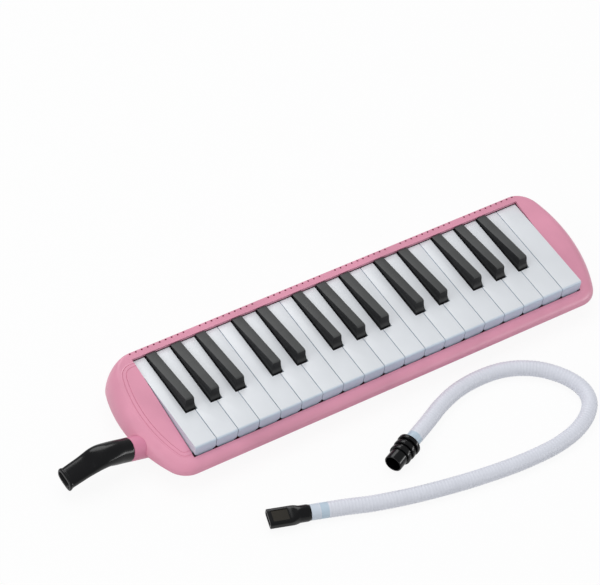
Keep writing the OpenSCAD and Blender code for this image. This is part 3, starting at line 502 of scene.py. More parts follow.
def join(piece: Piece, *others: Piece) -> None:
    """Adds other objects' meshes to a piece and deletes those objects."""
    with reshaped(piece.data) as shape:
        for other in others:
            shape.from_mesh(other.data)
    for other in others:
        drop(other)


def ease(piece: Piece, angle: float = 32) -> None:
    """Shades a piece smoothly, with sharp edges past an angle in degrees."""
    mesh = piece.data
    mesh.polygons.foreach_set("use_smooth", [True] * len(mesh.polygons))
    mesh.set_sharp_from_angle(angle=math.radians(angle))
    mesh.update()


def dress(piece: Piece, slot: Slot, finishes: Finishes, body: str,
          *nodes: str) -> Piece:
    """Gives a piece its slot's material if it has none, sets it on its body and hides its solids.

    Args:
        piece: The finished piece.
        slot: Its material slot.
        finishes: The built finishes.
        body: The body that it rides on.
        nodes: Solids that it stands for.

    Returns:
        The piece.
    """
    if not piece.data.materials:
        piece.data.materials.append(finishes.of(slot))
    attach(piece, body)
    if nodes:
        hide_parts(*nodes)
    LOG.info("%s rides on %s", piece.name, body)
    return piece


def quads(first: int, rows: int, count: int) -> Faces:
    """Returns the faces between rows of count points each, which are numbered from first."""
    faces = []
    for i in range(rows - 1):
        for j in range(count):
            a, b = first + i * count + j, first + i * count + (j + 1) % count
            faces.append((a, b, b + count, a + count))
    return faces


def loft(rings: Sequence[Ring]) -> Shape:
    """Closes a skin over rings that run anticlockwise along their way.

    Args:
        rings: Rings with equal point counts.

    Returns:
        Points and faces, with a cap at each end.
    """
    count = len(rings[0])
    last = (len(rings) - 1) * count
    faces = quads(0, len(rings), count)
    faces += [tuple(range(count - 1, -1, -1)), tuple(range(last, last + count))]
    return [p for ring in rings for p in ring], faces


def wall(outer: Sequence[Ring], inner: Sequence[Ring], closed_top: bool) -> Shape:
    """Closes a wall between an outer and an inner run of rings.

    Args:
        outer: Rings of the outer face, anticlockwise along their way.
        inner: Rings of the inner face, the same way.
        closed_top: Whether the last rings get caps, or are joined to each other.

    Returns:
        Points and faces.
    """
    count = len(outer[0])
    base = len(outer) * count
    top = base + (len(inner) - 1) * count
    faces = quads(0, len(outer), count)
    faces += [quad[::-1] for quad in quads(base, len(inner), count)]
    ends = ((0, base),) if closed_top else ((0, base), (base - count, top))
    for k, (out, into) in enumerate(ends):
        for j in range(count):
            n = (j + 1) % count
            quad = (out + j, into + j, into + n, out + n)
            faces.append(quad[::-1] if k else quad)
    if closed_top:
        faces.append(tuple(range(base - count, base)))
        faces.append(tuple(range(top + count - 1, top - 1, -1)))
    return [p for ring in (*outer, *inner) for p in ring], faces


def lathe(profile: Sequence[Pair], steps: int = 64) -> Shape:
    """Turns a closed profile round the Z axis.

    Args:
        profile: Radius and height of each point, anticlockwise.
        steps: Faces round the axis.

    Returns:
        Points and faces.
    """
    count = len(profile)
    faces: Faces = []
    for i in range(steps):
        k = (i + 1) % steps
        for j in range(count):
            n = (j + 1) % count
            faces.append((i * count + j, k * count + j, k * count + n, i * count + n))
    return [(r * math.cos(a), r * math.sin(a), z) for a in turns(steps) for r, z in profile], faces


def block(x: Pair, y: Pair, z: Pair) -> Shape:
    """Returns a box between two limits on each axis."""
    low = [(x[0], y[0], z[0]), (x[1], y[0], z[0]), (x[1], y[1], z[0]), (x[0], y[1], z[0])]
    return loft([low, [(p[0], p[1], z[1]) for p in low]])


def round_bar(start: Vec, end: Vec, diameter: float, steps: int = 48) -> Shape:
    """Returns a closed round bar between two points."""
    way = Vector(end) - Vector(start)
    turn = way.to_track_quat("Z", "Y").to_matrix().to_4x4()
    rings = [circle(diameter / 2, z, steps) for z in (0.0, way.length)]
    return moved(loft(rings), Matrix.Translation(start) @ turn)


def moved(shape: Shape, place: Matrix) -> Shape:
    """Returns a shape with its points moved by a matrix."""
    return [tuple(place @ Vector(p)) for p in shape[0]], shape[1]


class GeometryGraph(NodeGraph):
    """A Geometry Nodes tree with named inputs, one of which is the material."""

    def __init__(self, name: str, **inputs: Sequence[str]) -> None:
        """Starts a tree.

        Args:
            name: The tree's name.
            inputs: Names of the inputs after the geometry, by their type.
        """
        super().__init__(bpy.data.node_groups.new(name, "GeometryNodeTree"))
        face = self.tree.interface
        for way in ("INPUT", "OUTPUT"):
            face.new_socket("Geometry", in_out=way, socket_type="NodeSocketGeometry")
        self.keys = {
            key: face.new_socket(key, in_out="INPUT", socket_type="NodeSocket" + kind).identifier
            for kind, keys in {**inputs, "Material": ("Material",)}.items() for key in keys}
        self.given = self.add("NodeGroupInput").outputs
        self.output = self.add("NodeGroupOutput").inputs["Geometry"]

    def on_points(self, points: Socket, shape: Socket) -> Socket:
        """Returns a shape set on every point."""
        inputs = {"Points": points, "Instance": shape}
        return self.add("GeometryNodeInstanceOnPoints", inputs).outputs["Instances"]

    def finish(self, geometry: Socket) -> None:
        """Realizes the geometry, gives it the tree's material and sends it out."""
        real = self.add("GeometryNodeRealizeInstances", {0: geometry})
        painted = self.add("GeometryNodeSetMaterial",
                           {"Geometry": real.outputs[0], "Material": self.given["Material"]})
        self.tree.links.new(painted.outputs[0], self.output)

    def run(self, piece: Piece, **values: object) -> None:
        """Runs the tree on a piece and leaves a plain mesh.

        Args:
            piece: The object that the tree works on.
            values: Its named inputs, with _ for a space.
        """
        modifier = piece.modifiers.new(self.tree.name, "NODES")
        modifier.node_group = self.tree
        for name, value in values.items():
            modifier[self.keys[name.replace("_", " ")]] = value
        bake(piece)


def scatter_tree() -> GeometryGraph:
    """Returns a tree that sets one object on every point of a mesh."""
    graph = GeometryGraph("set_on_points", Object=("Object",))
    shape = graph.add("GeometryNodeObjectInfo", {"Object": graph.given["Object"]})
    graph.finish(graph.on_points(graph.given["Geometry"], shape.outputs["Geometry"]))
    return graph


def perforation_tree() -> GeometryGraph:
    """Returns a tree that lays out groups of round bars, which cut the sound holes."""
    graph = GeometryGraph("sound_hole_rows", Int=("Groups", "Holes"), Vector=("Start",),
                          Float=("Group Pitch", "Hole Pitch", "Diameter", "Depth"))
    given = graph.given
    step = graph.add("ShaderNodeCombineXYZ", {"X": given["Hole Pitch"]})
    leap = graph.add("ShaderNodeCombineXYZ", {"X": given["Group Pitch"]})
    row = graph.add("GeometryNodeMeshLine", {
        "Count": given["Holes"], "Offset": step.outputs[0]}, mode="OFFSET")
    groups = graph.add("GeometryNodeMeshLine", {
        "Count": given["Groups"], "Offset": leap.outputs[0], "Start Location": given["Start"]},
        mode="OFFSET")
    bar = graph.add("GeometryNodeMeshCylinder", {
        "Vertices": 20, "Radius": graph.math("MULTIPLY", given["Diameter"], 0.5),
        "Depth": given["Depth"]})
    bars = graph.on_points(row.outputs["Mesh"], bar.outputs["Mesh"])
    graph.finish(graph.on_points(groups.outputs["Mesh"], bars))
    return graph


def ribbed_tube_tree() -> GeometryGraph:
    """Returns a tree that sweeps a ribbed tube with plain cuffs along a chain of edges."""
    ring_half, ring_rise, ring_bare = 0.35 * MM, 0.2 * MM, 0.8
    inner_tone, tone_step = 0.55, 0.45
    graph = GeometryGraph("ribbed_tube", Int=("Stations", "Sides", "Ribs"), Float=(
        "Radius", "Rib Depth", "Start Cuff", "End Cuff", "Cuff Radius", "Ring At", "Bore Radius"))
    given, calc = graph.given, graph.math
    chain = graph.add("GeometryNodeMeshToCurve", {"Mesh": given["Geometry"]})
    line = graph.add("GeometryNodeResampleCurve", {
        "Curve": chain.outputs[0], "Count": given["Stations"]})
    along = graph.add("GeometryNodeSplineParameter").outputs["Length"]
    whole = graph.add("GeometryNodeSplineLength").outputs["Length"]
    last = calc("SUBTRACT", whole, given["End Cuff"])
    ribbed = calc("SUBTRACT", last, given["Start Cuff"])
    share = calc("DIVIDE", calc("SUBTRACT", along, given["Start Cuff"]), ribbed)
    phase = calc("MULTIPLY", calc("MULTIPLY", share, given["Ribs"]), 2 * math.pi)
    wave = calc("MULTIPLY_ADD", calc("COSINE", phase), 0.5, 0.5)
    crest = calc("SUBTRACT", given["Radius"], calc("MULTIPLY", wave, given["Rib Depth"]))
    after = calc("GREATER_THAN", along, given["Start Cuff"])
    inside = calc("MULTIPLY", after, calc("LESS_THAN", along, last))
    excess = calc("SUBTRACT", crest, given["Cuff Radius"])
    plain = calc("MULTIPLY_ADD", inside, excess, given["Cuff Radius"])
    left = calc("SUBTRACT", calc("SUBTRACT", whole, along), given["Ring At"])
    ring = calc("LESS_THAN", calc("ABSOLUTE", left), ring_half)
    radius = calc("MULTIPLY_ADD", ring, ring_rise, plain)
    deep = calc("MULTIPLY_ADD", calc("GREATER_THAN", left, 0.0), tone_step, inner_tone)
    bare = calc("MULTIPLY_ADD", ring, ring_bare, inside)
    tone = calc("MULTIPLY", deep, calc("SUBTRACT", 1.0, bare))
    marked = graph.add("GeometryNodeStoreNamedAttribute", {
        "Geometry": line.outputs[0], "Name": "shade", "Value": tone},
        data_type="FLOAT", domain="POINT")
    circle = graph.add("GeometryNodeCurvePrimitiveCircle", {
        "Resolution": given["Sides"], "Radius": 1.0})
    outer, inner = (graph.add("GeometryNodeCurveToMesh", {
        "Curve": marked.outputs[0], "Profile Curve": circle.outputs["Curve"],
        "Scale": size}).outputs[0] for size in (radius, given["Bore Radius"]))
    turned = graph.add("GeometryNodeFlipFaces", {"Mesh": inner})
    both = graph.add("GeometryNodeJoinGeometry", {"Geometry": outer})
    graph.tree.links.new(turned.outputs[0], both.inputs["Geometry"])
    graph.finish(both.outputs[0])
    return graph


@dataclass(frozen=True)
class CasePlan:
    """Plan and heights of the case, the same as those of the solids."""

    left_cheek_w: float = 32.0
    right_cheek_w: float = 28.2
    front_rail_w: float = 10.2
    back_rail_w: float = 8.8
    front_rail_z: float = 26.0
    back_rail_z: float = 39.0
    seam_z: float = 17.5
    base_inset: float = 16.5
    bow_r: float = 110.0
    bow_back: float = 5.0
    front_corner_r: float = 20.0
    back_corner_r: float = 24.0
    least_corner_r: float = 2.0
    corner_steps: int = 14
    bow_steps: int = 26
    rounds: tuple[float, float, float, float] = (13.0, 10.0, 6.5, 3.5)
    keys_l: float = 364.8
    white_l: float = 94.0
    white_top_z: float = 36.0

    @property
    def body_l(self) -> float:
        """Length of the case."""
        return self.left_cheek_w + self.keys_l + self.right_cheek_w

    @property
    def body_w(self) -> float:
        """Width of the case."""
        return self.front_rail_w + self.white_l + self.back_rail_w

    @property
    def keys_x(self) -> Pair:
        """Left and right end of the keys."""
        start = self.left_cheek_w - self.body_l / 2
        return start, start + self.keys_l

    @property
    def keys_y(self) -> Pair:
        """Front and back end of the white keys."""
        start = self.front_rail_w - self.body_w / 2
        return start, start + self.white_l

    def top_z(self, y: float) -> float:
        """Returns the height of the case's top at y."""
        start = self.keys_y[0]
        return mix(self.front_rail_z, self.back_rail_z, (y - start) / self.white_l)

    def end_points(self, x_end: float, y: Pair,
                   r: Pair) -> list[Pair]:
        """Draws one bowed end, from its front corner to its back corner.

        Args:
            x_end: Furthest X of the end.
            y: Front and back limit.
            r: Radius of the front and the back corner.

        Returns:
            Points in plan.
        """
        middle = (y[0] + y[1]) / 2 + self.bow_back
        centre = x_end - self.bow_r
        at = (y[0] + r[0], y[1] - r[1])
        x = [centre + math.sqrt((self.bow_r - r[k]) ** 2 - (at[k] - middle) ** 2) for k in (0, 1)]
        a = [math.atan2(at[k] - middle, x[k] - centre) for k in (0, 1)]
        runs = (((x[0], at[0]), r[0], -math.pi / 2, a[0], self.corner_steps),
                ((centre, middle), self.bow_r, a[0], a[1], self.bow_steps),
                ((x[1], at[1]), r[1], a[1], math.pi / 2, self.corner_steps))
        points = []
        for (cx, cy), radius, a0, a1, steps in runs:
            skipped = 1 if points else 0
            points += [(cx + radius * math.cos(mix(a0, a1, i / steps)),
                        cy + radius * math.sin(mix(a0, a1, i / steps)))
                       for i in range(skipped, steps + 1)]
        return points

    def outline(self, left: float, right: float, front: float,
                back: float) -> list[Pair]:
        """Draws the plan, drawn in by its own amount on each side.

        Args:
            left: Inset at the left end.
            right: Inset at the right end.
            front: Inset at the front.
            back: Inset at the back.

        Returns:
            Points in plan, anticlockwise.
        """
        y = (-self.body_w / 2 + front, self.body_w / 2 - back)
        ends = []
        for inset in (right, left):
            r = (max(self.front_corner_r - (inset + front) / 2, self.least_corner_r),
                 max(self.back_corner_r - (inset + back) / 2, self.least_corner_r))
            ends.append(self.end_points(self.body_l / 2 - inset, y, r))
        return ends[0] + [(-p[0], p[1]) for p in reversed(ends[1])]

    def shell_ring(self, angle: float, inset: float, drop_z: float) -> Ring:
        """Draws one ring of the soft top.

        Args:
            angle: 0 degrees at the seam and 90 at the top.
            inset: How far it is drawn in.
            drop_z: How far its top lies below the case's top.

        Returns:
            The ring.
        """
        s = 1 - math.cos(math.radians(angle))
        up = math.sin(math.radians(angle))
        points = self.outline(*(inset + r * s for r in self.rounds))
        return [(p[0], p[1], mix(self.seam_z, self.top_z(p[1]) - drop_z, up)) for p in points]

    def top_ring(self, inset: float, lift: float) -> Ring:
        """Returns an evenly inset ring that lies over the case's top by lift."""
        return [(*p, self.top_z(p[1]) + lift) for p in self.outline(inset, inset, inset, inset)]

    def tub_ring(self, z: float, inset: float) -> Ring:
        """Returns a ring of the tub at a height, drawn in by inset."""
        d = self.base_inset * (1 - z / self.seam_z) + inset
        return [(*p, z) for p in self.outline(d, d, d, d)]


@dataclass
class CaseShells:
    """The two halves of the case, their screws and the sound holes."""

    plan: CasePlan
    finishes: Finishes
    wall_t: float = 2.4
    tub_wall: float = 3.3
    floor_t: float = 2.4
    seam_groove: float = 0.35
    base_r: float = 1.0
    top_steps: int = 22
    base_steps: int = 6
    rib_t: float = 2.5
    rib_foot_z: float = 1.2
    window_gap: float = 0.4
    front_gap: float = 0.9
    window_top_z: float = 80.0
    panel_inset: float = 12.4
    panel_h: float = 0.8
    panel_slope: float = 3.0
    panel_foot: tuple[Pair, ...] = ((-1.6, -1.4), (-1.6, -0.2))
    groove_steps: tuple[float, ...] = (-0.4, -0.25, 0, 0.25, 0.4)
    hole_rows: tuple[int, int] = (6, 10)
    hole_pitches: Pair = (63.1, 5.37)
    hole_d: float = 1.6
    hole_row: float = 4.7
    hole_z: float = 36.0
    hole_depth: float = 20.0
    socket_d: float = 19.0
    socket_reach: Pair = (-17.1, 17.0)
    drain_at: Pair = (15.991, 12.0)
    drain_d: float = 9.6
    drain_reach: Pair = (190.0, 230.0)
    end_screws: tuple[Pair, ...] = (
        (16.0, 0.3), (21.0, -0.354), (-16.0, 0.3), (-16.0, -0.32))
    rail_screws: tuple[float, ...] = (0.2, 0.5, 0.8)
    rail_shares: Pair = (0.55, 0.52)
    post_d: float = 9.0
    post_gap: float = 0.05
    screw_seat_z: float = 15.3
    screw_hole_d: float = 5.4
    screw_steps: int = 32
    screw_profile: tuple[Pair, ...] = (
        (0.3, -1.5), (1.6, -1.45), (2.2, -1.15), (2.5, -0.7), (2.5, 0), (1.3, 0), (1.3, 6),
        (0.9, 6.4))
    recess_arm: Pair = (1.5, 0.3)
    recess_z: Pair = (-2.5, -0.6)
    screws: list[Pair] = field(default_factory=list)

    def __post_init__(self) -> None:
        """Lays out the case screws at both ends, in from the nearer end, and along the rails."""
        plan = self.plan
        half_l, half_w = plan.body_l / 2, plan.body_w / 2
        self.screws = [(inset - half_l if inset > 0 else half_l + inset, share * (2 * half_w))
                       for inset, share in self.end_screws]
        for share in self.rail_screws:
            x = plan.keys_x[0] + share * plan.keys_l
            self.screws += [(x, self.rail_shares[0] * plan.front_rail_w - half_w),
                            (x, half_w - self.rail_shares[1] * plan.back_rail_w)]

    def socket_bar(self) -> Piece:
        """Returns the bar that cuts the socket's seat."""
        a = math.radians(SOCKET_TILT)
        way = Vector((-math.cos(a), 0, math.sin(a)))
        start, end = (tuple(Vector(SOCKET_AT) + s * way) for s in self.socket_reach)
        return new_piece("socket_bar", round_bar(start, end, self.socket_d))

    def sound_hole_bars(self) -> Piece:
        """Returns the bars that cut the sound holes."""
        groups, holes = self.hole_rows
        row_l = (groups - 1) * self.hole_pitches[0] + (holes - 1) * self.hole_pitches[1]
        start = (sum(self.plan.keys_x) / 2 - row_l / 2, self.plan.keys_y[1] + self.hole_row,
                 self.hole_z)
        bars = new_piece("sound_hole_bars", ([], []))
        perforation_tree().run(
            bars, Groups=groups, Holes=holes, Group_Pitch=self.hole_pitches[0] * MM,
            Hole_Pitch=self.hole_pitches[1] * MM, Diameter=self.hole_d * MM,
            Depth=self.hole_depth * MM, Start=[c * MM for c in start],
            Material=self.finishes.of(Slot.CASE_PINK))
        return bars

    def cheek_panel(self) -> Piece:
        """Returns the raised panel of the left cheek with the two fine grooves of its border."""
        rise, low = self.panel_h, self.panel_h / 2
        steps = list(self.panel_foot)
        for start, top, floor in ((0, low, 0), (self.panel_slope, rise, low)):
            steps += [(start + d, top if d else floor) for d in self.groove_steps]
        rings = [self.plan.top_ring(self.panel_inset + d, h) for d, h in steps]
        panel = new_piece("cheek_panel", loft(rings))
        edge = ((self.plan.keys_x[0] - self.window_gap) * MM, 0, 0)
        with reshaped(panel.data) as shape:
            parts = [*shape.verts, *shape.edges, *shape.faces]
            bmesh.ops.bisect_plane(shape, geom=parts, plane_co=edge, plane_no=(1, 0, 0),
                                   clear_outer=True)
            bmesh.ops.holes_fill(shape, edges=[e for e in shape.edges if e.is_boundary])
        return panel

    def build_upper(self) -> Piece:
        """Builds the upper half with its openings and its cheek panel and returns the piece."""
        plan, groove = self.plan, self.seam_groove
        angles = [90 * i / self.top_steps for i in range(self.top_steps + 1)]
        outer = [plan.shell_ring(0, groove, 0)]
        outer += [[(p[0], p[1], p[2] + groove) for p in plan.shell_ring(0, 0, 0)]]
        outer += [plan.shell_ring(a, 0, 0) for a in angles[1:]]
        inner = [plan.shell_ring(a, self.wall_t, self.wall_t) for a in angles[::2]]
        shell = new_piece("upper_shell", wall(outer, inner, True))
        (x0, x1), (y0, y1), gap = plan.keys_x, plan.keys_y, self.window_gap
        window = block((x0 - gap, x1 + gap), (y0 - self.front_gap, y1),
                       (plan.seam_z - 1, self.window_top_z))
        cut(shell, new_piece("window_block", window))
        cut(shell, self.sound_hole_bars())
        cut(shell, self.socket_bar())
        join(shell, self.cheek_panel())
        ease(shell)
        return dress(shell, Slot.CASE_PINK, self.finishes, ROOT, "upper_case")

    def build_lower(self) -> Piece:
        """Builds the tub with its counterbored screw holes and drain hole and returns the piece."""
        plan, groove = self.plan, self.seam_groove
        outer = [plan.tub_ring(self.base_r * z, self.base_r * inset)
                 for z, inset in quarter(self.base_steps)]
        outer += [plan.tub_ring(plan.seam_z - groove, 0), plan.tub_ring(plan.seam_z, groove)]
        tub = new_piece("lower_tub", loft(outer))
        hollow = new_piece("tub_hollow", loft([
            plan.tub_ring(z, self.tub_wall) for z in (self.floor_t, plan.seam_z + 1)]))
        post_top = (0, 0, plan.seam_z - self.post_gap)
        cut(hollow, self.on_screws(
            "posts", round_bar((0, 0, 0), post_top, self.post_d, self.screw_steps)))
        for rib in self.ribs():
            cut(hollow, rib)
        cut(tub, hollow)
        seat = round_bar((0, 0, -1), (0, 0, self.screw_seat_z), self.screw_hole_d, self.screw_steps)
        cut(tub, self.on_screws("counterbores", seat))
        drain = round_bar(*((x, *self.drain_at) for x in self.drain_reach), self.drain_d)
        cut(tub, new_piece("drain_bar", drain))
        cut(tub, self.socket_bar())
        ease(tub)
        return dress(tub, Slot.CASE_PINK, self.finishes, ROOT, "lower_case")

    def on_screws(self, name: str, shape: Shape, z: float = 0.0, slot: Slot = Slot.CASE_PINK,
                  trims: Sequence[Shape] = ()) -> Piece:
        """Sets a shape on the axis of every case screw.

        Args:
            name: The new object's name.
            shape: What is set, with the screw's axis at X and Y 0.
            z: Height at which it is set.
            slot: Its finish.
            trims: What is cut out of it first.

        Returns:
            The object.
        """
        one = new_piece("one_of_" + name, shape)
        for trim in trims:
            cut(one, new_piece("trim", trim))
        placed = new_piece(name, ([(x, y, z) for x, y in self.screws], []))
        scatter_tree().run(placed, Object=one, Material=self.finishes.of(slot))
        drop(one)
        return placed

    def ribs(self) -> list[Piece]:
        """Returns the ribs that carry the stop felts."""
        made = []
        for felt in ("white_stop_felt", "black_stop_felt"):
            low, high = (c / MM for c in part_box(felt))
            middle = (low.y + high.y) / 2
            rib = block((low.x, high.x), (middle - self.rib_t / 2, middle + self.rib_t / 2),
                        (self.rib_foot_z, low.z))
            made.append(new_piece(felt + "_rib", rib))
        return made

    def build_screws(self) -> Piece:
        """Builds the case screws with their cross recesses and returns the piece."""
        screw = loft([circle(r, z, self.screw_steps) for r, z in self.screw_profile])
        recess = [block((-a, a), (-b, b), self.recess_z)
                  for a, b in (self.recess_arm, self.recess_arm[::-1])]
        screws = self.on_screws("case_screw_set", screw, self.screw_seat_z, Slot.STEEL, recess)
        ease(screws)
        return dress(screws, Slot.STEEL, self.finishes, ROOT, "case_screws")


@dataclass
class BlowEnd:
    """The blow socket and the short mouthpiece."""

    finishes: Finishes
    socket_d: float = 18.8
    socket_bore: float = 14.9
    socket_depth: float = 15.0
    socket_l: float = 17.0
    tail_d: float = 10.4
    tail_l: float = 10.0
    air_d: float = 8.8
    rim_gap: float = 0.1
    rim_r: float = 0.5
    spigot_l: float = 14.0
    spigot_clear: float = 0.05
    root_l: float = 19.0
    bend_r: float = 20.0
    bend_a: float = 37.0
    bend_swell: float = 0.7
    blade_l: float = 25.5
    blade_w: float = 19.0
    blade_t: float = 8.2
    lip_h: float = 0.7
    lip_run: Pair = (3.6, 2.6)
    tip_taper: float = 0.5
    swell_from: float = 8.0
    thin_lag: float = 2.0
    edge_runs: Pair = (0.5, 0.7)
    edge_trim: float = 0.6
    tip_l: float = 4.0
    blade_wall: float = 1.2
    blade_square: float = 3.0
    tip_slant: float = 24.0
    slant_l: float = 12.0

    @property
    def place(self) -> Matrix:
        """The matrix that lays +Z out along the socket."""
        turn = Matrix.Rotation(math.radians(SOCKET_TILT - 90), 4, "Y")
        return Matrix.Translation(SOCKET_AT) @ turn

    @property
    def bend_l(self) -> float:
        """Length of the bend along its middle."""
        return self.bend_r * math.radians(self.bend_a)

    @property
    def mouth_l(self) -> float:
        """Length of the mouthpiece along its middle."""
        return self.root_l + self.bend_l + self.blade_l

    def middle(self, s: float) -> Vec:
        """Returns how far out, how far down and how steep the middle line is at s."""
        a = math.radians(self.bend_a) * min(max((s - self.root_l) / self.bend_l, 0), 1)
        over = max(s - self.root_l - self.bend_l, 0)
        end = math.radians(self.bend_a)
        return (min(s, self.root_l) + self.bend_r * math.sin(a) + over * math.cos(end),
                self.bend_r * (1 - math.cos(a)) + over * math.sin(end), a)

    def ring(self, s: float, half_w: float, half_t: float, steps: int = 56) -> Ring:
        """Draws a section of the mouthpiece, oval at the root and squarer and slanted at the tip.

        Args:
            s: Place along the middle line.
            half_w: Half of its width.
            half_t: Half of its thickness.
            steps: Points round the section.

        Returns:
            The section.
        """
        out, fall, slope = self.middle(s)
        slanted = smooth_step((s - self.mouth_l + self.slant_l) / self.slant_l)
        slant = math.radians(self.tip_slant) * slanted
        power = mix(2, self.blade_square, smooth_step((s - self.root_l) / self.bend_l))
        lean = slope - slant
        points = []
        for thick, wide in oval(half_t, half_w, power, steps):
            h = thick / math.cos(slant)
            points.append((-fall + h * math.cos(lean), wide, out + h * math.sin(lean)))
        return points

    def outer_ring(self, s: float) -> Ring:
        """Returns the outer section at s, with the swell of the bend and the lip at the tip."""
        reach, past = self.root_l + self.bend_l, s - self.swell_from
        swell = self.bend_swell * math.sin(math.pi * min(max(past / reach, 0), 1))
        lip = self.lip_h * smooth_step((s - self.mouth_l + self.lip_run[0]) / self.lip_run[1])
        widened = smooth_step(past / (reach - self.swell_from))
        half_w = mix(self.socket_d, self.blade_w, widened) / 2 + swell
        half_w -= self.tip_taper * smooth_step((s - reach) / (self.mouth_l - reach))
        half_t = mix(self.socket_d, self.blade_t, smooth_step(past / (reach - self.thin_lag))) / 2
        edge = min(s / self.edge_runs[0], (self.mouth_l - s) / self.edge_runs[1], 1)
        trim = self.edge_trim * (1 - math.sqrt(max(1 - (1 - edge) ** 2, 0)))
        return self.ring(s, half_w + lip - trim, half_t + lip - trim)

    def inner_ring(self, s: float) -> Ring:
        """Returns the section of the air way at s."""
        k = smooth_step(1.4 * s / self.mouth_l)
        half_w = mix(self.air_d / 2, self.blade_w / 2 - self.blade_wall - self.tip_taper, k)
        return self.ring(s, half_w, mix(self.air_d / 2, self.blade_t / 2 - self.blade_wall, k))

    def build_mouthpiece(self) -> Piece:
        """Builds the short mouthpiece with its spigot and returns the piece."""
        length = self.mouth_l
        stations = [0, 0.1, 0.25, 0.5]
        stations += [mix(0.5, length - self.tip_l, i / 60) for i in range(1, 61)]
        stations += [length - self.tip_l + 0.2 * i for i in range(1, 18)]
        stations += [length - 0.5, length - 0.3, length - 0.15, length - 0.05, length]
        stations = sorted({round(s, 3) for s in stations})
        inner = [self.inner_ring(length * i / 40) for i in range(41)]
        shape = wall([self.outer_ring(s) for s in stations], inner, False)
        place = self.place @ Matrix.Translation((0, 0, self.rim_gap))
        blade = new_piece("mouthpiece_blade", moved(shape, place))
        r, bore = self.socket_bore / 2 - self.spigot_clear, self.air_d / 2 - 0.2
        spigot = lathe([(bore, 0.6), (bore, -self.spigot_l), (r - 0.4, -self.spigot_l),
                        (r, 0.4 - self.spigot_l), (r, 0.6)])
        join(blade, new_piece("mouthpiece_spigot", moved(spigot, place)))
        ease(blade, 40)
        shade_faces(blade, lambda face: 0.0)
        return dress(blade, Slot.MOUTH_BLACK, self.finishes, "mouthpiece", "mouthpiece")

    def build_socket(self) -> Piece:
        """Builds the blow socket with a softened rim and a painted shade of darker pink, and
        returns it.
        """
        r, bore, air, tail = (
            d / 2 for d in (self.socket_d, self.socket_bore, self.air_d, self.tail_d))
        foot, end, rim = -self.socket_l, -self.socket_l - self.tail_l, self.rim_r
        profile = [(air, end), (tail, end), (tail, foot), (r, foot),
                   (r, -rim), (r - 0.15, -0.15), (r - rim, 0), (bore + 0.4, 0), (bore, -0.4),
                   (bore, -self.socket_depth), (air, -self.socket_depth)]
        socket = new_piece("blow_socket_ring", moved(lathe(profile, 72), self.place))
        ease(socket)
        # Painted shade: half of the darker pink over the whole socket.
        shade_faces(socket, lambda face: 0.5)
        return dress(socket, Slot.CASE_PINK, self.finishes, ROOT, "blow_socket")


def shade_faces(piece: Piece, rule: Callable[[bpy.types.MeshPolygon], float]) -> None:
    """Writes the "shade" attribute, one value for each face.

    Args:
        piece: The piece.
        rule: Gives the value of a face.
    """
    mesh = piece.data
    shade = mesh.attributes.get("shade") or mesh.attributes.new("shade", "FLOAT", "CORNER")
    values = [0.0] * len(mesh.loops)
    for face in mesh.polygons:
        value = rule(face)
        for corner in face.loop_indices:
            values[corner] = value
    shade.data.foreach_set("value", values)


